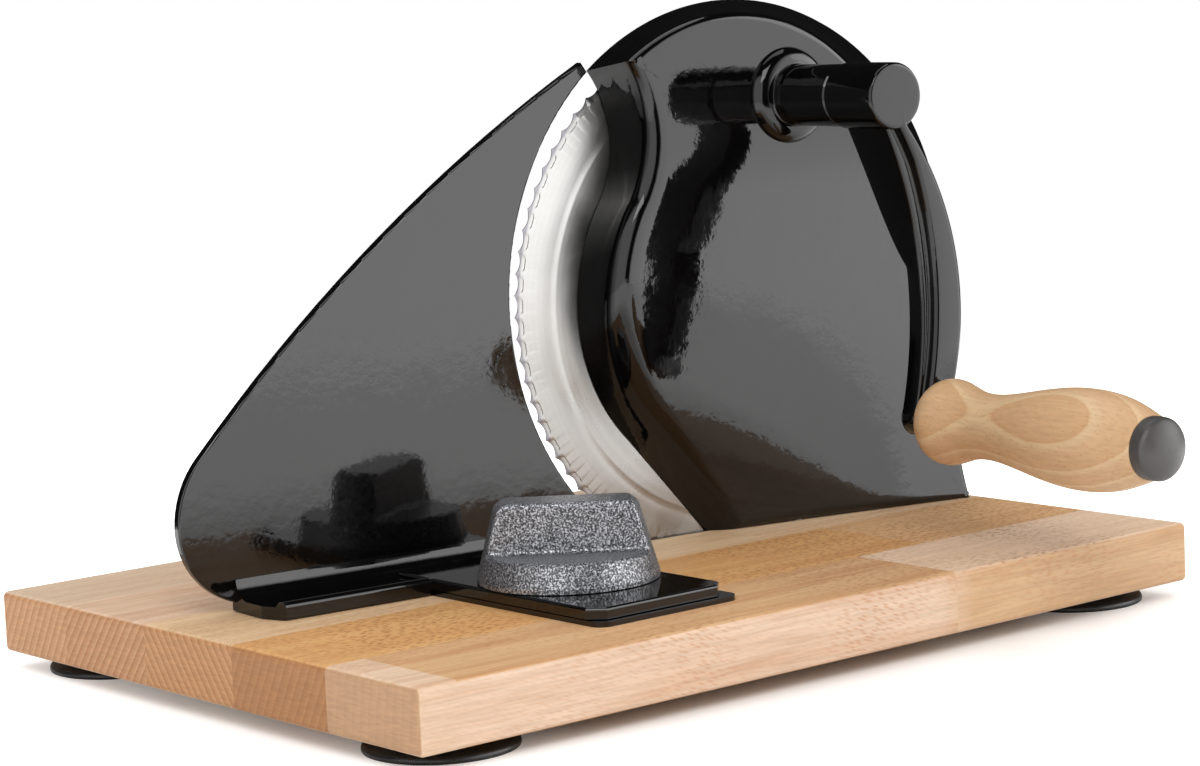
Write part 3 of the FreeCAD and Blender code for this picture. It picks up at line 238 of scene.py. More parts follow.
def inUnit(tree, move=(0, 0, 0)):
    # Object coordinates to u, v, w in metres, then moved
    c, s = np.cos(np.radians(unit["yaw"])), np.sin(np.radians(unit["yaw"]))
    x, y, z = [p * mm for p in unit["origin"]]
    turned = objectPlace(tree, -unit["yaw"], (-(x * c + y * s), -(y * c - x * s), -z))
    return addNode(tree, "Mapping", {"Vector": turned, "Location": move}).outputs["Vector"]


def stoveEnamel(name, settings):
    # stove enamel sprayed over metal: deep black under a wet gloss, with an orange peel that
    # frays the edges of what it mirrors
    made, tree = newFinish(name)
    where = objectPlace(tree)
    broad = addNode(tree, "TexNoise", {"Vector": where, "Scale": 1000 / settings["waveMm"],
                                       "Detail": 1.0, "Roughness": 0.4})
    peel = addNode(tree, "TexNoise", {"Vector": where, "Scale": 1000 / settings["peelMm"],
                                      "Detail": 2.0, "Roughness": 0.5})
    first = addNode(tree, "Bump", {"Height": broad.outputs[0], "Strength": 1.0,
                                   "Distance": settings["waveDepthMm"] * mm})
    bump = addNode(tree, "Bump", {"Height": peel.outputs[0], "Strength": 1.0,
                                  "Distance": settings["peelDepthMm"] * mm,
                                  "Normal": first.outputs[0]})
    level = settings["sheen"]
    if "lean" in settings:
        # a lean of the shading only, fitted to where the photograph mirrors the arm and the
        # board: to the right below the neck, and upwards the more the lower it comes
        lean = settings["lean"]
        high = addNode(tree, "SeparateXYZ", {"Vector": inUnit(tree)}).outputs[2]
        under = addNode(tree, "MapRange", {
            "Value": high, "From Min": lean["rightFromMm"] * mm, "From Max": lean["rightFullMm"] * mm,
            "To Max": lean["right"]}, interpolation_type="SMOOTHSTEP")
        lower = addNode(tree, "MapRange", {"Value": high, "From Min": lean["upFromMm"] * mm,
                                           "From Max": 0.0, "To Max": lean["up"]})
        turn = addNode(tree, "CombineXYZ", {"X": under.outputs[0], "Z": lower.outputs[0]})
        faced = addNode(tree, "NewGeometry").outputs["Normal"]
        facing = addNode(tree, "SeparateXYZ", {"Vector": faced})
        onFace = addNode(tree, "MapRange", {"Value": facing.outputs[1], "From Min": lean["face"][0],
                                            "From Max": lean["face"][1]})
        part = addNode(tree, "VectorMath", {0: turn.outputs[0], "Scale": onFace.outputs[0]},
                       operation="SCALE")
        leaning = addNode(tree, "VectorMath", {0: faced, 1: part.outputs[0]}, operation="ADD")
        turned = addNode(tree, "VectorMath", {0: leaning.outputs[0]}, operation="NORMALIZE")
        tree.links.new(turned.outputs[0], first.inputs["Normal"])
        # the wall beside the blade looks almost black in the photograph, so its sheen is lowered
        level = addNode(tree, "MapRange", {"Value": facing.outputs[0], "From Min": lean["wall"][0],
                                           "From Max": lean["wall"][1], "To Min": level,
                                           "To Max": lean["wallSheen"]}).outputs[0]
    haze = addNode(tree, "MapRange", {"Value": peel.outputs[0], "From Min": 0.35, "From Max": 0.7,
                                      "To Min": settings["gloss"][0], "To Max": settings["gloss"][1]})
    tone = addNode(tree, "MapRange", {"Value": broad.outputs[0], "From Min": 0.3, "From Max": 0.7,
                                      "To Min": 0.75, "To Max": 1.0})
    colour = addNode(tree, "Mix",
                     {"Factor": 1.0, "A": hexColour(settings["colour"]), "B": tone.outputs[0]},
                     data_type="RGBA", blend_type="MULTIPLY").outputs["Result"]
    shader = addNode(tree, "BsdfPrincipled", {
        "Base Color": colour, "Roughness": haze.outputs[0],
        "IOR": settings["ior"], "Specular IOR Level": level, "Normal": bump.outputs[0]})
    addNode(tree, "OutputMaterial", {"Surface": shader.outputs["BSDF"]})
    return made


# black enamel on castings: the crank's neck, hub and arm
castLook = {"colour": "#080707", "waveMm": 12.0, "waveDepthMm": 0.1, "peelMm": 2.8,
            "peelDepthMm": 0.034, "gloss": (0.03, 0.08), "ior": 1.43, "sheen": 0.5}
castEnamel = stoveEnamel("castEnamel", castLook)
# the housing's enamel mirrors a little more, and its shading leans: how far, between which
# heights, and between which parts of the normal to the front and to the left it comes in
coverEnamel = stoveEnamel("coverEnamel", {**castLook, "ior": 1.45, "lean": {
    "right": 0.15, "rightFromMm": 152, "rightFullMm": 124, "up": 0.14, "upFromMm": 150,
    "face": (-0.8, -0.97), "wall": (-0.85, -0.97), "wallSheen": 0.08}})
# black enamel on the fence's sheet steel
plateEnamel = stoveEnamel("plateEnamel", {"colour": "#090808", "waveMm": 15.0, "waveDepthMm": 0.09,
                                          "peelMm": 3.0, "peelDepthMm": 0.034,
                                          "gloss": (0.04, 0.1), "ior": 1.52, "sheen": 0.5})

# Staves of the board. Each row says where a stave or piece begins (mm on the board), its colour,
# how strong its flecks and its streaks are, and how its grain is moved. Later rows lie over
# earlier ones. A front ends with the half width over which it passes into the one before, and
# an end gives the slope and the strength of its rings.
beech = {
    "tops": [(-9, -9, "#cea980", 0.6, 0.8, 0.0), (229.5, -9, "#dcc2a8", 0.9, 0.5, 0.31),
             (-9, 48, "#d0a26c", 1.0, 0.6, 0.67), (262, 48, "#d2aa7e", 1.0, 0.6, 0.67),
             (-9, 100, "#d6b995", 0.4, 0.6, 1.71), (236, 100, "#dfc3a2", 0.4, 0.8, 2.2),
             (-9, 152, "#d8bca3", 0.3, 0.7, 2.9), (168, 152, "#dabf9f", 0.3, 0.6, 3.3),
             (-9, 203, "#d0b9a0", 0.2, 0.5, 3.9)],
    "fronts": [(-9, "#dbc2ab", 0), (15.3, "#dcc3ad", 0), (229.5, "#ccab86", 9)],
    "ends": [(-9, "#b79372", 0.15, 0.2), (48, "#a97d55", 0.55, 0.6), (100, "#bd966f", -0.75, 1.0),
             (152, "#be9875", 0.8, 1.0), (203, "#c39d79", 0.6, 0.9)],
    "blockEnd": 15.0, "blockFar": 48.0, "blockTone": "#dbc2a9",
    "fleckMm": (4.6, 1.7), "fibreMm": 0.8, "ringMm": 4.2,
    "sideFleckMm": (5.2, 1.3), "sideJoint": 229.5, "sideSlopes": (0.32, 0.04),
}


def glueBeech():
    # glued beech staves, sanded and oiled: straight grain with short dark flecks on the faces,
    # and slanted year rings where the ends are cut
    made, tree = newFinish("glueBeech")
    where = objectPlace(tree)
    split = addNode(tree, "SeparateXYZ", {"Vector": where})
    x, y, z = split.outputs
    # 1 where x or y is past the place at which a row begins
    overX, overY = {}, {}
    for at in sorted({row[0] for row in beech["tops"] + beech["fronts"]} | {beech["blockEnd"]}):
        overX[at] = addNode(tree, "Math", {0: x, 1: (board["left"] + at) * mm},
                            operation="GREATER_THAN").outputs[0]
    for at in sorted({row[1] for row in beech["tops"]} | {row[0] for row in beech["ends"]}):
        overY[at] = addNode(tree, "Math", {0: y, 1: (board["near"] + at) * mm},
                            operation="GREATER_THAN").outputs[0]
    top, fleckPower, streakPower, shift = hexColour(beech["tops"][0][2]), 0.5, 1.0, 0.0
    for fromX, fromY, tone, fleck, streak, move in beech["tops"]:
        inside = addNode(tree, "Math", {0: overX[fromX], 1: overY[fromY]},
                         operation="MULTIPLY").outputs[0]
        top = addNode(tree, "Mix", {"Factor": inside, "A": top, "B": hexColour(tone)},
                      data_type="RGBA").outputs["Result"]
        fleckPower = addNode(tree, "Mix", {"Factor": inside, "A": fleckPower, "B": fleck},
                             data_type="FLOAT").outputs["Result"]
        streakPower = addNode(tree, "Mix", {"Factor": inside, "A": streakPower, "B": streak},
                              data_type="FLOAT").outputs["Result"]
        shift = addNode(tree, "Mix", {"Factor": inside, "A": shift, "B": move},
                        data_type="FLOAT").outputs["Result"]
    front = hexColour(beech["fronts"][0][1])
    for fromX, tone, soft in beech["fronts"]:
        step = overX[fromX]
        if soft:
            step = addNode(tree, "MapRange", {
                "Value": x, "From Min": (board["left"] + fromX - soft) * mm,
                "From Max": (board["left"] + fromX + soft) * mm}).outputs[0]
        front = addNode(tree, "Mix", {"Factor": step, "A": front, "B": hexColour(tone)},
                        data_type="RGBA").outputs["Result"]
    end, slope, ringPower = hexColour(beech["ends"][0][1]), 0.2, 0.2
    for fromY, tone, lean, power in beech["ends"]:
        end = addNode(tree, "Mix", {"Factor": overY[fromY], "A": end, "B": hexColour(tone)},
                      data_type="RGBA").outputs["Result"]
        slope = addNode(tree, "Mix", {"Factor": overY[fromY], "A": slope, "B": lean},
                        data_type="FLOAT").outputs["Result"]
        ringPower = addNode(tree, "Mix", {"Factor": overY[fromY], "A": ringPower, "B": power},
                            data_type="FLOAT").outputs["Result"]
    # the near left corner has a block of its own
    besideBlock = addNode(tree, "Math", {0: overX[beech["blockEnd"]], 1: overY[beech["blockFar"]]},
                          operation="MAXIMUM").outputs[0]
    top = addNode(tree, "Mix", {"Factor": besideBlock, "A": hexColour(beech["blockTone"]), "B": top},
                  data_type="RGBA").outputs["Result"]

    # which way the surface faces
    normal = addNode(tree, "SeparateXYZ", {"Vector": addNode(tree, "NewGeometry").outputs["Normal"]})
    endOn = addNode(tree, "Math", {0: normal.outputs[0]}, operation="ABSOLUTE")
    cutEnd = addNode(tree, "MapRange", {"Value": endOn.outputs[0], "From Min": 0.6, "From Max": 0.8})
    sideOn = addNode(tree, "Math", {0: normal.outputs[1]}, operation="ABSOLUTE")
    longSide = addNode(tree, "MapRange", {"Value": sideOn.outputs[0], "From Min": 0.6,
                                          "From Max": 0.8})
    ground = addNode(tree, "Mix", {"Factor": longSide.outputs[0], "A": top, "B": front},
                     data_type="RGBA").outputs["Result"]

    # long grain: noise drawn out along the board and moved in each stave
    moved = addNode(tree, "CombineXYZ", {"X": shift, "Y": shift, "Z": shift})
    inStave = addNode(tree, "VectorMath", {0: where, 1: moved.outputs[0]}, operation="ADD").outputs[0]
    longWay = addNode(tree, "Mapping", {"Vector": inStave, "Scale": (7, 120, 120)})
    cloud = addNode(tree, "TexNoise", {"Vector": longWay.outputs[0], "Scale": 1.0, "Detail": 4.0,
                                       "Roughness": 0.6, "Distortion": 0.8})
    fibreWay = addNode(tree, "Mapping", {"Vector": inStave, "Scale": (
        60, 1000 / beech["fibreMm"], 1000 / beech["fibreMm"])})
    fibre = addNode(tree, "TexNoise", {"Vector": fibreWay.outputs[0], "Scale": 1.0, "Detail": 2.0})
    streak = addNode(tree, "MapRange", {"Value": cloud.outputs[0], "From Min": 0.35, "From Max": 0.7})
    streakTone = addNode(tree, "Mix",
                         {"Factor": streak.outputs[0], "A": hexColour("#fffaf4"),
                          "B": hexColour("#d9b494")}, data_type="RGBA").outputs["Result"]
    streaked = addNode(tree, "Mix",
                       {"Factor": addNode(tree, "Math", {0: streakPower, 1: 0.75},
                                          operation="MULTIPLY").outputs[0], "A": ground,
                        "B": streakTone}, data_type="RGBA", blend_type="MULTIPLY").outputs["Result"]
    lines = addNode(tree, "MapRange", {"Value": fibre.outputs[0], "From Min": 0.35, "From Max": 0.7,
                                       "To Min": 1.02, "To Max": 0.86})
    lined = addNode(tree, "Mix", {"Factor": 1.0, "A": streaked, "B": lines.outputs[0]},
                    data_type="RGBA", blend_type="MULTIPLY").outputs["Result"]
    # flecks: thin dark dashes along the grain, denser in patches
    longFleck, wideFleck = beech["fleckMm"]
    stavePlace = addNode(tree, "SeparateXYZ", {"Vector": inStave})
    fleckWay = addNode(tree, "CombineXYZ",
                       {"X": addNode(tree, "Math", {0: stavePlace.outputs[0], 1: 1000 / longFleck},
                                     operation="MULTIPLY").outputs[0],
                        "Y": addNode(tree, "Math", {0: stavePlace.outputs[1], 1: 1000 / wideFleck},
                                     operation="MULTIPLY").outputs[0]})
    cells = addNode(tree, "TexVoronoi", {"Vector": fleckWay.outputs[0], "Scale": 1.0},
                    voronoi_dimensions="2D")
    dash = addNode(tree, "MapRange", {"Value": cells.outputs["Distance"], "From Min": 0.1,
                                      "From Max": 0.32, "To Min": 0.85, "To Max": 0.0})
    patchNoise = addNode(tree, "TexNoise", {"Vector": inStave, "Scale": 18.0, "Detail": 1.0})
    patch = addNode(tree, "MapRange", {"Value": patchNoise.outputs[0], "From Min": 0.4,
                                       "From Max": 0.6, "To Min": 0.25, "To Max": 1.0})
    upward = addNode(tree, "Math", {0: 1.0, 1: longSide.outputs[0]}, operation="SUBTRACT")
    fleckAmount = addNode(tree, "Math",
                          {0: addNode(tree, "Math", {0: dash.outputs[0], 1: patch.outputs[0]},
                                      operation="MULTIPLY").outputs[0],
                           1: addNode(tree, "Math", {0: fleckPower, 1: upward.outputs[0]},
                                      operation="MULTIPLY").outputs[0]},
                          operation="MULTIPLY").outputs[0]
    flecked = addNode(tree, "Mix", {"Factor": fleckAmount, "A": lined, "B": hexColour("#8f5a2c")},
                      data_type="RGBA").outputs["Result"]
    # the long sides are cut across the rays: dense pinkish dashes that slope a little
    longDash, wideDash = beech["sideFleckMm"]
    leftSlope, rightSlope = beech["sideSlopes"]
    sideSlope = addNode(tree, "Mix",
                        {"Factor": overX[beech["sideJoint"]], "A": leftSlope, "B": rightSlope},
                        data_type="FLOAT").outputs["Result"]
    sunk = addNode(tree, "Math",
                   {0: addNode(tree, "Math", {0: x, 1: sideSlope}, operation="MULTIPLY").outputs[0],
                    1: z}, operation="ADD").outputs[0]
    sideWay = addNode(tree, "CombineXYZ",
                      {"X": addNode(tree, "Math", {0: x, 1: 1000 / longDash},
                                    operation="MULTIPLY").outputs[0],
                       "Y": addNode(tree, "Math", {0: sunk, 1: 1000 / wideDash},
                                    operation="MULTIPLY").outputs[0]})
    sideCells = addNode(tree, "TexVoronoi", {"Vector": sideWay.outputs[0], "Scale": 1.0},
                        voronoi_dimensions="2D")
    sideDash = addNode(tree, "MapRange", {"Value": sideCells.outputs["Distance"], "From Min": 0.1,
                                          "From Max": 0.38, "To Min": 0.6, "To Max": 0.0})
    sideAmount = addNode(tree, "Math",
                         {0: addNode(tree, "Math", {0: sideDash.outputs[0], 1: patch.outputs[0]},
                                     operation="MULTIPLY").outputs[0], 1: longSide.outputs[0]},
                         operation="MULTIPLY").outputs[0]
    flecked = addNode(tree, "Mix", {"Factor": sideAmount, "A": flecked, "B": hexColour("#bd8660")},
                      data_type="RGBA").outputs["Result"]

    # cut ends: slanted rings, leaning another way in each stave, crossed by faint rays
    ringAt = addNode(tree, "Math",
                     {0: y,
                      1: addNode(tree, "Math", {0: z, 1: slope}, operation="MULTIPLY").outputs[0]},
                     operation="ADD").outputs[0]
    ringWay = addNode(tree, "CombineXYZ",
                      {"X": ringAt,
                       "Y": addNode(tree, "Math", {0: z, 1: 0.15}, operation="MULTIPLY").outputs[0]})
    rings = addNode(tree, "TexWave", {"Vector": ringWay.outputs[0], "Scale": 314 / beech["ringMm"],
                                      "Distortion": 1.4, "Detail": 2.0, "Detail Scale": 0.3},
                    wave_profile="SAW")
    rayWay = addNode(tree, "Mapping", {"Vector": where, "Scale": (60, 160, 1400)})
    rays = addNode(tree, "TexNoise", {"Vector": rayWay.outputs[0], "Scale": 1.0, "Detail": 3.0})
    ringTone = addNode(tree, "Mix",
                       {"Factor": rings.outputs[1], "A": hexColour("#fff3e6"),
                        "B": hexColour("#cfa37c")}, data_type="RGBA").outputs["Result"]
    ringed = addNode(tree, "Mix",
                     {"Factor": addNode(tree, "Math", {0: ringPower, 1: 0.75},
                                        operation="MULTIPLY").outputs[0], "A": end, "B": ringTone},
                     data_type="RGBA", blend_type="MULTIPLY").outputs["Result"]
    raysFaint = addNode(tree, "MapRange", {"Value": rays.outputs[0], "From Min": 0.35,
                                           "From Max": 0.65, "To Min": 0.9, "To Max": 1.06})
    endGrain = addNode(tree, "Mix", {"Factor": 1.0, "A": ringed, "B": raysFaint.outputs[0]},
                       data_type="RGBA", blend_type="MULTIPLY").outputs["Result"]
    wood = addNode(tree, "Mix", {"Factor": cutEnd.outputs[0], "A": flecked, "B": endGrain},
                   data_type="RGBA").outputs["Result"]
    bump = addNode(tree, "Bump", {"Height": fibre.outputs[0], "Strength": 0.5,
                                  "Distance": 0.05 * mm})
    gloss = addNode(tree, "MapRange", {"Value": cloud.outputs[0], "To Min": 0.42, "To Max": 0.6})
    addNode(tree, "OutputMaterial",
            {"Surface": addNode(tree, "BsdfPrincipled",
                                {"Base Color": wood, "Roughness": gloss.outputs[0], "IOR": 1.5,
                                 "Specular IOR Level": 0.22,
                                 "Normal": bump.outputs[0]}).outputs["BSDF"]})
    return made


def turnedBeech():
    # turned beech under clear lacquer: thin pale rings that the bulge cuts into nested ovals,
    # and short fine dashes along the grip
    made, tree = newFinish("turnedBeech")
    where = inUnit(tree)
    lean = addNode(tree, "VectorMath", {0: where, 1: (-0.84, 0.07, 0.54)}, operation="DOT_PRODUCT")
    along = addNode(tree, "CombineXYZ", {"X": lean.outputs["Value"]})
    rings = addNode(tree, "TexWave", {"Vector": along.outputs[0], "Scale": 44.0, "Distortion": 0.35,
                                      "Detail": 1.0, "Detail Scale": 0.5, "Phase Offset": 2.1},
                    wave_profile="SAW")
    ringTone = addNode(tree, "ValToRGB", {"Fac": rings.outputs[1]}, stops=[
        (0.0, hexColour("#bd9770")), (0.72, hexColour("#c29f7a")), (0.9, hexColour("#caac87")),
        (0.95, hexColour("#c8a983")), (1.0, hexColour("#b98f66"))])
    fibreWay = addNode(tree, "Mapping", {"Vector": where, "Scale": (900, 80, 900)})
    fibre = addNode(tree, "TexNoise", {"Vector": fibreWay.outputs[0], "Scale": 1.0, "Detail": 2.0})
    fleckWay = addNode(tree, "Mapping", {"Vector": where, "Scale": (1000, 260, 1000)})
    cells = addNode(tree, "TexVoronoi", {"Vector": fleckWay.outputs[0], "Scale": 1.0})
    dash = addNode(tree, "MapRange", {"Value": cells.outputs["Distance"], "From Min": 0.12,
                                      "From Max": 0.3, "To Min": 0.5, "To Max": 0.0})
    lines = addNode(tree, "MapRange", {"Value": fibre.outputs[0], "From Min": 0.35, "From Max": 0.7,
                                       "To Min": 1.03, "To Max": 0.9})
    lined = addNode(tree, "Mix", {"Factor": 1.0, "A": ringTone.outputs[0], "B": lines.outputs[0]},
                    data_type="RGBA", blend_type="MULTIPLY").outputs["Result"]
    wood = addNode(tree, "Mix", {"Factor": dash.outputs[0], "A": lined, "B": hexColour("#b07c4c")},
                   data_type="RGBA").outputs["Result"]
    gloss = addNode(tree, "MapRange", {"Value": fibre.outputs[0], "To Min": 0.34, "To Max": 0.5})
    bump = addNode(tree, "Bump", {"Height": fibre.outputs[0], "Strength": 0.4,
                                  "Distance": 0.04 * mm})
    addNode(tree, "OutputMaterial",
            {"Surface": addNode(tree, "BsdfPrincipled",
                                {"Base Color": wood, "Roughness": gloss.outputs[0], "IOR": 1.5,
                                 "Specular IOR Level": 0.22,
                                 "Normal": bump.outputs[0]}).outputs["BSDF"]})
    return made


def ringGroundSteel():
    # stainless steel ground on a turntable: fine rings about the axle, cloudy smears where the
    # grinding changed, and painted shade that darkens the ground edge at the teeth
    made, tree = newFinish("ringGroundSteel")
    u, w = unit["axle"]
    flat = inUnit(tree, move=(-u * mm, 0, -w * mm))
    split = addNode(tree, "SeparateXYZ", {"Vector": flat})
    flatOnly = addNode(tree, "CombineXYZ", {"X": split.outputs[0], "Y": split.outputs[2]})
    radius = addNode(tree, "VectorMath", {0: flatOnly.outputs[0]}, operation="LENGTH").outputs["Value"]
    ringWay = addNode(tree, "CombineXYZ", {"X": radius})
    fine = addNode(tree, "TexNoise", {"Vector": ringWay.outputs[0], "Scale": 1500.0, "Detail": 3.0})
    coarse = addNode(tree, "TexNoise", {"Vector": ringWay.outputs[0], "Scale": 220.0, "Detail": 2.0})
    smear = addNode(tree, "TexNoise", {"Vector": flat, "Scale": 26.0, "Detail": 4.0,
                                       "Roughness": 0.6, "Distortion": 1.0})
    rings = addNode(tree, "MapRange", {"Value": coarse.outputs[0], "From Min": 0.35, "From Max": 0.65,
                                       "To Min": 0.88, "To Max": 1.0})
    clouds = addNode(tree, "MapRange", {"Value": smear.outputs[0], "From Min": 0.35, "From Max": 0.65,
                                        "To Min": 0.84, "To Max": 1.0})
    # painted shade: the narrow ring at the ground edge of the teeth is darkened in colour, standing in
    # for the dimmer reflection of its hollow facets
    ground = addNode(tree, "MapRange", {"Value": radius, "From Min": 97.6 * mm, "From Max": 98.6 * mm})
    tone = addNode(tree, "Mix",
                   {"Factor": 1.0, "A": hexColour("#aaa9a7"),
                    "B": addNode(tree, "Math", {0: rings.outputs[0], 1: clouds.outputs[0]},
                                 operation="MULTIPLY").outputs[0]}, data_type="RGBA",
                   blend_type="MULTIPLY").outputs["Result"]
    colour = addNode(tree, "Mix", {"Factor": ground.outputs[0], "A": tone, "B": hexColour("#77757a")},
                     data_type="RGBA").outputs["Result"]
    rough = addNode(tree, "MapRange", {"Value": smear.outputs[0], "From Min": 0.3, "From Max": 0.7,
                                       "To Min": 0.24, "To Max": 0.42})
    bump = addNode(tree, "Bump", {"Height": fine.outputs[0], "Strength": 0.6,
                                  "Distance": 0.03 * mm})
    addNode(tree, "OutputMaterial",
            {"Surface": addNode(tree, "BsdfPrincipled",
                                {"Base Color": colour, "Metallic": 1.0, "Roughness": rough.outputs[0],
                                 "Normal": bump.outputs[0]}).outputs["BSDF"]})
    return made


def hammeredEnamel():
    # hammered enamel: silver flakes float in black and wrinkle into speckles under 1 mm wide
    made, tree = newFinish("hammeredEnamel")
    where = objectPlace(tree)
    speckMm = 0.62
    speck = addNode(tree, "TexNoise", {"Vector": where, "Scale": 1000 / speckMm, "Detail": 2.0,
                                       "Roughness": 0.55})
    tone = addNode(tree, "ValToRGB", {"Fac": speck.outputs[0]}, stops=[
        (0.38, hexColour("#232326")), (0.5, hexColour("#5c5d61")), (0.63, hexColour("#b0b2b7"))])
    metal = addNode(tree, "MapRange", {"Value": speck.outputs[0], "From Min": 0.42, "From Max": 0.58,
                                       "To Min": 0.2, "To Max": 0.7})
    bump = addNode(tree, "Bump", {"Height": speck.outputs[0], "Strength": 1.0,
                                  "Distance": 0.14 * mm})
    gloss = addNode(tree, "MapRange", {"Value": speck.outputs[0], "To Min": 0.28, "To Max": 0.42})
    addNode(tree, "OutputMaterial",
            {"Surface": addNode(tree, "BsdfPrincipled",
                                {"Base Color": tone.outputs[0], "Metallic": metal.outputs[0],
                                 "Roughness": gloss.outputs[0], "IOR": 1.5,
                                 "Normal": bump.outputs[0]}).outputs["BSDF"]})
    return made


def plainFinish(name, settings):
    # one even ground with a faint mottle and a fine grain in its gloss
    made, tree = newFinish(name)
    where = objectPlace(tree)
    grain = addNode(tree, "TexNoise", {"Vector": where, "Scale": 1000 / settings["grainMm"],
                                       "Detail": 3.0})
    tone = addNode(tree, "MapRange", {"Value": grain.outputs[0], "From Min": 0.3, "From Max": 0.7,
                                      "To Min": settings["mottle"], "To Max": 1.0})
    colour = addNode(tree, "Mix",
                     {"Factor": 1.0, "A": hexColour(settings["colour"]), "B": tone.outputs[0]},
                     data_type="RGBA", blend_type="MULTIPLY").outputs["Result"]
    rough = addNode(tree, "MapRange", {"Value": grain.outputs[0], "From Min": 0.3, "From Max": 0.7,
                                       "To Min": settings["roughness"][0],
                                       "To Max": settings["roughness"][1]})
    bump = addNode(tree, "Bump", {"Height": grain.outputs[0], "Strength": 0.6,
                                  "Distance": settings["depthMm"] * mm})
    addNode(tree, "OutputMaterial",
            {"Surface": addNode(tree, "BsdfPrincipled",
                                {"Base Color": colour, "Metallic": settings["metallic"],
                                 "Roughness": rough.outputs[0],
                                 "Normal": bump.outputs[0]}).outputs["BSDF"]})
    return made


# moulded rubber, satin with a dusty mottle
footRubber = plainFinish("footRubber", {"colour": "#141414", "grainMm": 1.4, "mottle": 0.8,
                                        "roughness": (0.3, 0.5), "depthMm": 0.02, "metallic": 0.0})
# injection moulded cap with a fine spark grain
mouldedCap = plainFinish("mouldedCap", {"colour": "#403d3c", "grainMm": 0.6, "mottle": 0.88,
                                        "roughness": (0.36, 0.5), "depthMm": 0.01, "metallic": 0.0})
# bright zinc plate over steel
zincPlate = plainFinish("zincPlate", {"colour": "#c6c8ca", "grainMm": 0.5, "mottle": 0.85,
                                      "roughness": (0.28, 0.42), "depthMm": 0.01, "metallic": 1.0})
# polished nickel with a warm cast
nickelPlate = plainFinish("nickelPlate", {"colour": "#d6d1c8", "grainMm": 0.8, "mottle": 0.93,
                                          "roughness": (0.14, 0.24), "depthMm": 0.004,
                                          "metallic": 1.0})
# sintered bearing bronze and turned brass
turnedBrass = plainFinish("turnedBrass", {"colour": "#c9a25c", "grainMm": 0.5, "mottle": 0.85,
                                          "roughness": (0.28, 0.4), "depthMm": 0.01,
                                          "metallic": 1.0})
# moulded nylon, milky and dull
mouldedNylon = plainFinish("mouldedNylon", {"colour": "#dcd8cc", "grainMm": 1.0, "mottle": 0.92,
                                            "roughness": (0.42, 0.55), "depthMm": 0.01,
                                            "metallic": 0.0})
# hobbed gear steel with a film of oil
gearSteel = plainFinish("gearSteel", {"colour": "#97989b", "grainMm": 0.6, "mottle": 0.82,
                                      "roughness": (0.25, 0.4), "depthMm": 0.015, "metallic": 1.0})
beechStaves = glueBeech()
beechGrip = turnedBeech()
bladeSteel = ringGroundSteel()
knobEnamel = hammeredEnamel()
print("materials made")

slotFinish = {"board_beech": beechStaves, "foot_rubber": footRubber, "zinc_steel": zincPlate,
              "enamel_cast": castEnamel, "enamel_fence": plateEnamel, "blade_steel": bladeSteel,
              "gear_nylon": mouldedNylon, "gear_steel": gearSteel, "bush_brass": turnedBrass,
              "lock_nickel": nickelPlate, "knob_hammered": knobEnamel, "grip_beech": beechGrip,
              "cap_plastic": mouldedCap}
for part in frame["record"]["subparts"]:
    node = frame["nodes"][part["node"]]
    node.data.materials.clear()
    node.data.materials.append(slotFinish[part["material_slot"]])


# Housing: a deep cover whose wall follows the hollowed left edge, with a shallow arched face
# that slants towards the board. Runs are (u, w, radius, side) in mm.
housing = {
    "rim": [(-34.0, 173.2, 42.2, -1), (-31.0, 125.5, 70.0, 1), (-22.1, 38.0), (11.4, 0),
            (127.0, 0, 600.0, 1), (132.4, 94.3, 101.0, 1), (73.1, 186.3, 101.0, 1)],
    "face": [(-29.6, 178.2, 52.0, -1), (-28.4, 129.6, 51.5, 1), (-19.2, 62.0), (58.0, 0),
             (123.7, 0, 200.0, -1), (101.6, 104.9, 190.0, 1), (57.8, 171.3, 72.0, 1)],
    "counts": (56, 80, 48, 80, 72, 72, 120),
    # how far the edge is cut back for its rounding, in mm, where each of the runs above begins
    "rounds": (3.6, 8.5, 8.5, 6.0, 2.2, 2.2, 2.2),
    "rimAt": 1.0, "loftAt": 34.0, "depth": 25.2, "slant": 0.133, "flatHigh": 110.0,
    "crown": 1600.0, "crownHigh": 154.4, "wall": 3.5, "centre": (45.0, 92.0),
    # points in the running means of the radius and of the inner line, and rows across the face
    "radiusMean": 15, "lineMean": 21, "faceRows": 40,
}
crank = {"u": 39.1, "w": 160.575, "gripU": 53.087, "gripW": 44.313}


def faceDepth(u, w):
    # how far the face stands in front of the blade: a shallow arch, and a slant across the
    # cover that grows with the square of the way down to the board
    left = np.clip(1 - w / housing["flatHigh"], 0, None)
    return (housing["depth"] + housing["slant"] * left ** 2 * (u - crank["u"])
            - (w - housing["crownHigh"]) ** 2 / housing["crown"])


def housingEdge(rim, face, inset):
    # where the wall meets the face, found by going back and forth between the two
    reach = np.full(len(rim), 20.0)
    for _ in range(14):
        t = ((reach - housing["rimAt"]) / (housing["loftAt"] - housing["rimAt"]))[:, None]
        edge = rim + (face - rim) * t
        reach = faceDepth(edge[:, 0], edge[:, 1]) - inset
    return edge, reach


def softened(values, width):
    # running mean around the closed outline
    kernel = np.ones(width) / width
    long = np.concatenate([values[-width:], values, values[:width]])
    return np.convolve(long, kernel, "same")[width:-width]


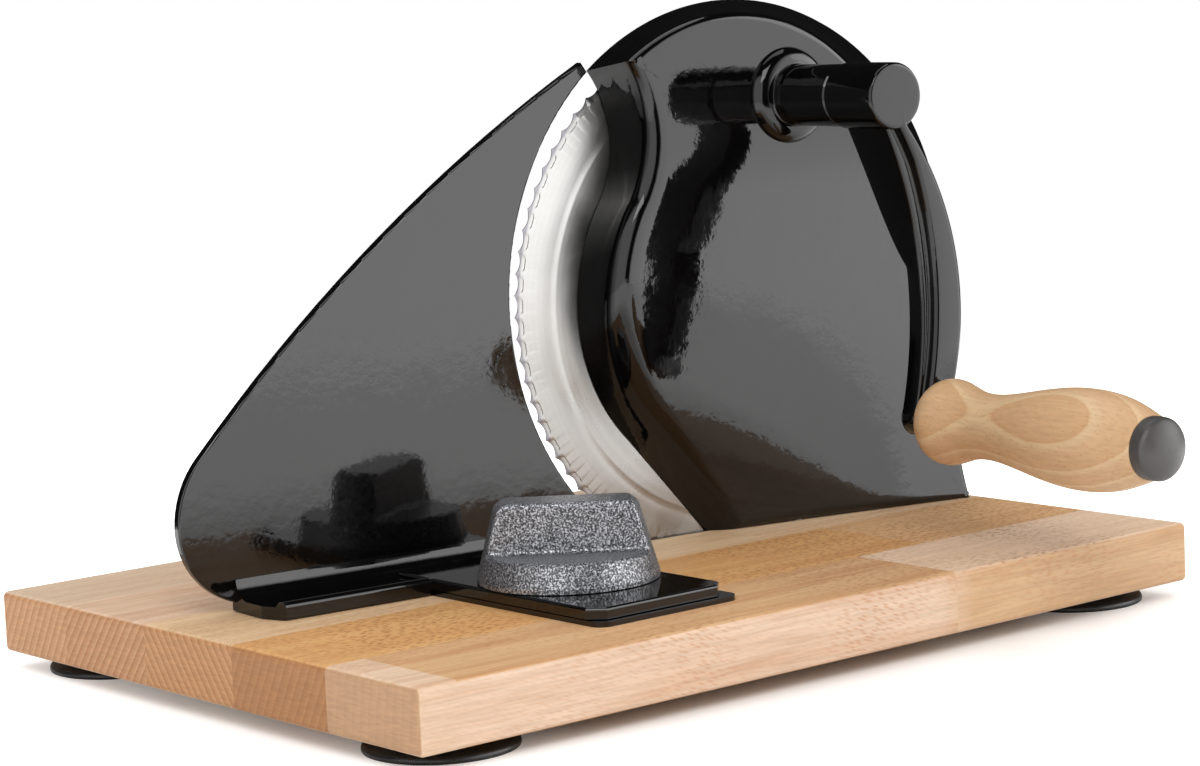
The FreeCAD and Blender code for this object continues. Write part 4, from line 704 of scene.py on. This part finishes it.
def makeHousing():
    # rows from the rim over the wall and the rounded edge to the middle of the face, turned
    # round, and then the same way inside, one wall's thickness in
    rim = outlineRun(housing["rim"], housing["counts"])
    face = outlineRun(housing["face"], housing["counts"])
    centre = np.array(housing["centre"])
    rows = []

    def addRow(flat, reach):
        rows.append(place(flat[:, 0], -np.broadcast_to(reach, len(flat)), flat[:, 1]))

    edge, reach = housingEdge(rim, face, 0.0)
    normal = outwardNormals(edge)
    ends = housing["rounds"][1:] + housing["rounds"][:1]
    radii = np.concatenate([np.linspace(a, b, n, endpoint=False) for a, b, n in
                            zip(housing["rounds"], ends, housing["counts"])])
    r = np.minimum(softened(radii, housing["radiusMean"]), reach * 0.4)
    back = (r / np.maximum(reach - housing["rimAt"], 2))[:, None]
    start = edge + (rim - edge) * back
    startReach = reach + (housing["rimAt"] - reach) * back[:, 0]
    inner = edge - normal * r[:, None]
    # the wall, the rounded edge as a curve of second degree, and the face out to the middle
    for t in (0.0, 0.04, 0.3, 0.6, 0.85):
        addRow(rim + (start - rim) * t, housing["rimAt"] + (startReach - housing["rimAt"]) * t)
    for t in np.linspace(0, 1, 11):
        a, b, c = (1 - t) ** 2, 2 * t * (1 - t), t * t
        flat = a * start + b * edge + c * inner
        addRow(flat, a * startReach + b * reach + c * faceDepth(inner[:, 0], inner[:, 1]))
    # the inner line folds over at sharp corners, so the rows soon follow a smoothed one
    mean = housing["lineMean"]
    smooth = np.stack([softened(softened(inner[:, i], mean), mean) for i in (0, 1)], 1)
    for t in np.linspace(0.02, 1, housing["faceRows"]):
        base = inner + (smooth - inner) * min(1, t * 16)
        flat = base + (centre - base) * t
        addRow(flat, faceDepth(flat[:, 0], flat[:, 1]))
    outside = rows[::-1]
    rows = []
    wallIn = housing["wall"]
    rimIn = rim - outwardNormals(rim) * wallIn
    faceIn = face - outwardNormals(face) * wallIn
    edgeIn, reachIn = housingEdge(rimIn, faceIn, wallIn)
    for t in (0.0, 0.5, 1.0):
        addRow(rimIn + (edgeIn - rimIn) * t, housing["rimAt"] + (reachIn - housing["rimAt"]) * t)
    for t in (0.1, 0.4, 0.7, 1.0):
        flat = edgeIn + (centre - edgeIn) * t
        addRow(flat, faceDepth(flat[:, 0], flat[:, 1]) - wallIn)
    surface("housingSkin", np.stack(outside + rows), "stand", coverEnamel,
            ["gear_housing"], crease=50)


makeHousing()
neck = {"profile": [(0, 11.6), (0, 11.6), (12.7, 11.6), (12.7, 11.6), (12.7, 21), (12.7, 21),
                    (17.6, 23.2), (17.6, 24.6), (17.2, 26.4), (15.6, 28.4), (13.2, 29.5),
                    (11.6, 29.9), (11.2, 30.6), (11.2, 34), (11.2, 50), (11.2, 57.6),
                    (11.2, 57.6), (10.4, 58.45), (10.4, 58.45), (7.1, 58.45), (7.1, 58.45),
                    (7.1, 11.8)]}
neckLine = smoothProfile(neck["profile"], 6)
surface("crankNeck", turnedGrid(neckLine, crank["u"], crank["w"]), "stand", castEnamel,
        poles=(True, False), crease=30)
print("housing made")


# Crank: a turned hub and a bowed arm, an angle in section whose rib stands to the front
arm = {
    "left": (-6.0, -3.0, 150.0), "right": (5.6, -10.4, 104.0), "end": 6.3,
    "front": 80.8, "ribFront": 84.9, "hubBack": 59.0, "armBack": 72.6,
    # how far below the crank's axis the back edge begins to come forward and where it ends, and
    # the square of the part of the circle's radius that it runs over
    "dropFrom": 11.0, "drop": 62.0, "bow": 0.8,
    "ribLeft": (5.2, 1.6), "rounds": (1.3, 1.6, 1.2, 2.4, 2.4, 1.6),
    "hub": [(0, 59.0), (0, 59.0), (11.0, 59.0), (11.0, 59.0), (11.6, 59.25), (11.8, 59.9),
            (11.8, 62), (11.8, 72), (11.8, 82.6), (11.7, 83.7), (11.3, 84.45), (10.6, 84.75),
            (9.4, 84.85), (6, 84.9), (0, 84.9)],
}


def roundedLoop(corners, radii, steps=5):
    # each corner is cut back by its radius and bridged by a curve of second degree
    points = []
    count = len(corners)
    for i in range(count):
        before, here, after = corners[i - 1], corners[i], corners[(i + 1) % count]
        for t in np.linspace(0, 1, steps):
            reachBack = np.minimum(radii[i] / np.maximum(np.linalg.norm(before - here, axis=-1), 1e-6),
                                   0.48)[..., None]
            reachOn = np.minimum(radii[i] / np.maximum(np.linalg.norm(after - here, axis=-1), 1e-6),
                                 0.48)[..., None]
            a = here + (before - here) * reachBack
            b = here + (after - here) * reachOn
            points.append(a * (1 - t) ** 2 + here * 2 * t * (1 - t) + b * t * t)
    return np.stack(points, 1)


def makeArm():
    # six corners at every level from inside the hub down to the round end, rounded and joined
    cu, cw, gu, gw = crank["u"], crank["w"], crank["gripU"], crank["gripW"]
    end = arm["end"]
    # levels from inside the hub down to the round end, closer together near it
    levels = np.concatenate([np.linspace(cw - 4.5, gw + 1.2, 90),
                             gw - end * np.sin(np.linspace(0, np.pi / 2, 14))])
    du, dw, bend = arm["left"]
    leftLine = arcRun((cu + du, cw + dw), (gu - end, gw + 1.0), bend, -1, 160)
    du, dw, bend = arm["right"]
    rightLine = arcRun((gu + end, gw + 1.0), (cu + du, cw + dw), bend, 1, 160)
    left = np.interp(levels, leftLine[::-1, 1], leftLine[::-1, 0])
    right = np.interp(levels, rightLine[:, 1], rightLine[:, 0])
    half = np.sqrt(np.clip(end ** 2 - np.clip(gw - levels, 0, end) ** 2, 0.0004, None))
    left = np.where(levels < gw, gu - half, left)
    right = np.where(levels < gw, gu + half, right)
    # the back edge comes forward along an arc of a circle as the arm goes down
    down = np.clip((cw - arm["dropFrom"] - levels) / (arm["drop"] - arm["dropFrom"]), 0, 1)
    bowed = (1 - np.sqrt(1 - down ** 2 * arm["bow"])) / (1 - np.sqrt(1 - arm["bow"]))
    back = arm["hubBack"] + (arm["armBack"] - arm["hubBack"]) * bowed
    way = np.clip((cw - levels) / (cw - gw), 0, 1)
    inset = arm["ribLeft"][0] + (arm["ribLeft"][1] - arm["ribLeft"][0]) * way
    inset = np.minimum(inset, (right - left) * 0.4)
    front, ribFront = np.full_like(left, arm["front"]), np.full_like(left, arm["ribFront"])
    corners = [np.stack(pair, -1) for pair in (
        (left, back), (left, front), (left + inset, front), (left + inset, ribFront),
        (right, ribFront), (right, back))]
    loops = roundedLoop(corners, arm["rounds"])
    grid = place(loops[..., 0], -loops[..., 1], levels[:, None])
    surface("armSkin", grid, "crank", castEnamel, ["crank_arm"], crease=48)
    surface("hubSkin", turnedGrid(smoothProfile(arm["hub"], 6), crank["u"], crank["w"]), "crank",
            castEnamel, crease=40)


makeArm()
print("crank made")


# Blade: a ring whose edge is drawn in by shallow arcs between pointed tips
blade = {"radius": 100.0, "teeth": 80, "scallop": 1.5, "perTooth": 12, "bevel": 83.0,
         "bore": 11.0, "back": -0.6, "front": 0.6, "edge": 0.35}


def makeBlade():
    # each ring's radius less its share of the scallop's depth, turned about the axle
    u, w = unit["axle"]
    count = blade["teeth"] * blade["perTooth"]
    angle = np.arange(count) * 2 * np.pi / count
    inTooth = (np.arange(count) % blade["perTooth"]) / blade["perTooth"]
    # depth of the scallop: a half wave from tip to tip
    dip = blade["scallop"] * np.sin(np.pi * inTooth) ** 0.8
    back, front, edgeAt = blade["back"], blade["front"], blade["back"] + blade["edge"]
    # radius, reach and how much of the scallop's depth each ring takes; the ground facet behind
    # each scallop is hollow, and a shallow step runs round where the bevel begins
    bevel = blade["bevel"]
    rows = [(blade["bore"], back, 0), (60, back, 0), (96, back, 0), (blade["radius"], back, 1),
            (blade["radius"], edgeAt, 1), (98.9, edgeAt + 0.1, 1.7), (97.4, edgeAt + 0.3, 0.6),
            (96.6, edgeAt + 0.33, 0.0), (90, 0.3, 0), (bevel + 2.6, front - 0.14, 0),
            (bevel + 1.2, front - 0.2, 0), (bevel + 0.3, front - 0.02, 0), (bevel - 0.5, front, 0),
            (60, front, 0), (blade["bore"], front, 0), (blade["bore"], back, 0)]
    grid = []
    for radius, reach, cutIn in rows:
        r = radius - dip * cutIn
        grid.append(place(u + r * np.cos(angle), -reach + 0 * r, w + r * np.sin(angle)))
    surface("bladeDisc", np.stack(grid), "cutter", bladeSteel, ["blade"],
            poles=(False, False), crease=20)


makeBlade()
print("blade made")


# Grip and its end cap
grip = {
    "profile": [(4.05, 85.2), (4.05, 85.2), (9.6, 85.2), (9.6, 85.2), (11.9, 86.4), (14.2, 89.0),
                (15.35, 92.4), (15.2, 95.8), (13.9, 100.6), (12.4, 106.0), (11.7, 112.0),
                (11.75, 117.5), (12.4, 124.0), (13.9, 133.0), (15.7, 143.0), (17.0, 152.5),
                (17.5, 161.0), (17.2, 169.5), (16.0, 177.5), (14.0, 184.5), (11.9, 190.4),
                (11.1, 191.9), (10.8, 192.2), (10.8, 192.2), (8.0, 192.2), (8.0, 192.2),
                (8.0, 181.2), (8.0, 181.2), (4.05, 181.2), (4.05, 181.2), (4.05, 85.2)],
    "cap": [(0, 188.7), (0, 188.7), (8.0, 188.7), (8.0, 188.7), (8.0, 192.22), (8.0, 192.22),
            (10.6, 192.22), (10.6, 192.22), (10.75, 192.6), (10.8, 194.0), (10.75, 196.4),
            (10.4, 197.3), (9.4, 198.3), (6.5, 199.8), (3.2, 200.85), (0, 201.2)],
}
surface("gripWood", turnedGrid(smoothProfile(grip["profile"], 7), crank["gripU"], crank["gripW"]),
        "grip", beechGrip, ["handle_grip"], poles=(False, False), crease=40)
surface("gripCap", turnedGrid(smoothProfile(grip["cap"], 7), crank["gripU"], crank["gripW"]),
        "grip", mouldedCap, ["handle_end_cap"], crease=40)
print("grip made")


# Stage: a white table that fades into the white background, lit from the front, and a dark room
# with two windows for the gloss to mirror. Each window has its direction, the two cosines
# between which it fades in, and its strength. Each lamp has its place, what it looks at, its
# size and its power. Far from the board the table glows with painted light: for the camera it is
# lifted so that its shadow fades out, and in reflections it gleams brighter than white.
# Distances in metres.
stage = {"floor": "#f7f6f5", "half": 1.4, "world": 0.85,
         "fadeFrom": 0.66, "fadeTo": 0.84, "liftFrom": 0.12, "liftTo": 0.34, "lift": 0.72,
         "gleamFrom": 0.2, "gleamTo": 0.36, "gleam": 1.3, "dark": 0.012,
         "windows": (((0.62, -0.78, 0.0), (0.7, 0.86), 3.3),
                     ((-0.94, -0.34, 0.0), (0.71, 0.82), 1.8)),
         "lamps": (("keyLamp", (-1.1, -1.3, 1.7), (0, 0, 0.08), (1.2, 1.2), 24.0),
                   ("fillLamp", (1.9, -1.2, 1.1), (0, 0, 0.08), (1.6, 1.2), 8.0),
                   ("topLamp", (0.2, 0.6, 2.2), (0, 0, 0.05), (1.8, 1.8), 15.0))}


def makeFloor():
    # glow is painted light on the table: the lift for camera rays plus the gleam for glossy rays;
    # clear beyond the fade
    half = stage["half"]
    mesh = bpy.data.meshes.new("floor")
    mesh.from_pydata([(-half, -half, 0), (half, -half, 0), (half, half, 0), (-half, half, 0)], [],
                     [(0, 1, 2, 3)])
    made, tree = newFinish("paleFloor")
    away = addNode(tree, "VectorMath", {0: objectPlace(tree)}, operation="LENGTH").outputs["Value"]
    ray = addNode(tree, "LightPath")
    lift = addNode(tree, "MapRange", {"Value": away, "From Min": stage["liftFrom"],
                                      "From Max": stage["liftTo"], "To Max": stage["lift"]})
    gleam = addNode(tree, "MapRange", {"Value": away, "From Min": stage["gleamFrom"],
                                       "From Max": stage["gleamTo"], "To Max": stage["gleam"]})
    glow = addNode(tree, "Math",
                   {0: addNode(tree, "Math", {0: lift.outputs[0], 1: ray.outputs["Is Camera Ray"]},
                               operation="MULTIPLY").outputs[0],
                    1: addNode(tree, "Math", {0: gleam.outputs[0], 1: ray.outputs["Is Glossy Ray"]},
                               operation="MULTIPLY").outputs[0]}, operation="ADD").outputs[0]
    far = addNode(tree, "MapRange", {"Value": away, "From Min": stage["fadeFrom"],
                                     "From Max": stage["fadeTo"]})
    table = addNode(tree, "BsdfPrincipled", {
        "Base Color": hexColour(stage["floor"]), "Roughness": 0.8,
        "Emission Color": (1, 1, 1, 1), "Emission Strength": glow})
    clear = addNode(tree, "BsdfTransparent")
    mixed = addNode(tree, "MixShader", {0: far.outputs[0], 1: table.outputs[0],
                                        2: clear.outputs[0]})
    addNode(tree, "OutputMaterial", {"Surface": mixed.outputs[0]})
    mesh.materials.append(made)
    floor = bpy.data.objects.new("floor", mesh)
    bpy.context.scene.collection.objects.link(floor)


def makeLamp(name, at, aim, size, power):
    # a white rectangle whose -Z looks from its place to its aim
    data = bpy.data.lights.new(name, "AREA")
    data.shape, data.size, data.size_y = "RECTANGLE", size[0], size[1]
    data.energy = power
    lamp = bpy.data.objects.new(name, data)
    back = np.array(at, float) - np.array(aim, float)
    back /= np.linalg.norm(back)
    right = np.cross([0, 0, 1], back)
    right /= np.linalg.norm(right)
    up = np.cross(back, right)
    turn = Matrix([list(row) for row in np.stack([right, up, back], 1)]).to_4x4()
    lamp.matrix_world = Matrix.Translation(at) @ turn
    bpy.context.scene.collection.objects.link(lamp)


def makeWorld():
    # white to the camera and evenly pale to matt surfaces; a mirror sees a dark room with one
    # window to the right of the camera and one to its left
    world = bpy.data.worlds.new("paleStudio")
    bpy.context.scene.world = world
    world.use_nodes = True
    tree = world.node_tree
    tree.nodes.clear()
    ray = addNode(tree, "LightPath")
    way = addNode(tree, "TexCoord").outputs["Generated"]
    room = stage["dark"]
    for towards, edges, power in stage["windows"]:
        near = addNode(tree, "VectorMath", {0: way, 1: towards}, operation="DOT_PRODUCT")
        window = addNode(tree, "MapRange", {"Value": near.outputs["Value"], "From Min": edges[0],
                                            "From Max": edges[1], "To Max": power},
                         interpolation_type="SMOOTHSTEP")
        room = addNode(tree, "Math", {0: room, 1: window.outputs[0]}, operation="ADD").outputs[0]
    mirrored = addNode(tree, "Mix",
                       {"Factor": ray.outputs["Is Glossy Ray"], "A": stage["world"], "B": room},
                       data_type="FLOAT").outputs["Result"]
    strength = addNode(tree, "Mix", {"Factor": ray.outputs["Is Camera Ray"], "A": mirrored, "B": 1.0},
                       data_type="FLOAT").outputs["Result"]
    sky = addNode(tree, "Background", {"Color": (1, 1, 1, 1), "Strength": strength})
    addNode(tree, "OutputWorld", {"Surface": sky.outputs[0]})


makeFloor()
for lamp in stage["lamps"]:
    makeLamp(*lamp)
makeWorld()
bpy.context.scene.view_settings.view_transform = "Standard"
print("stage lit")
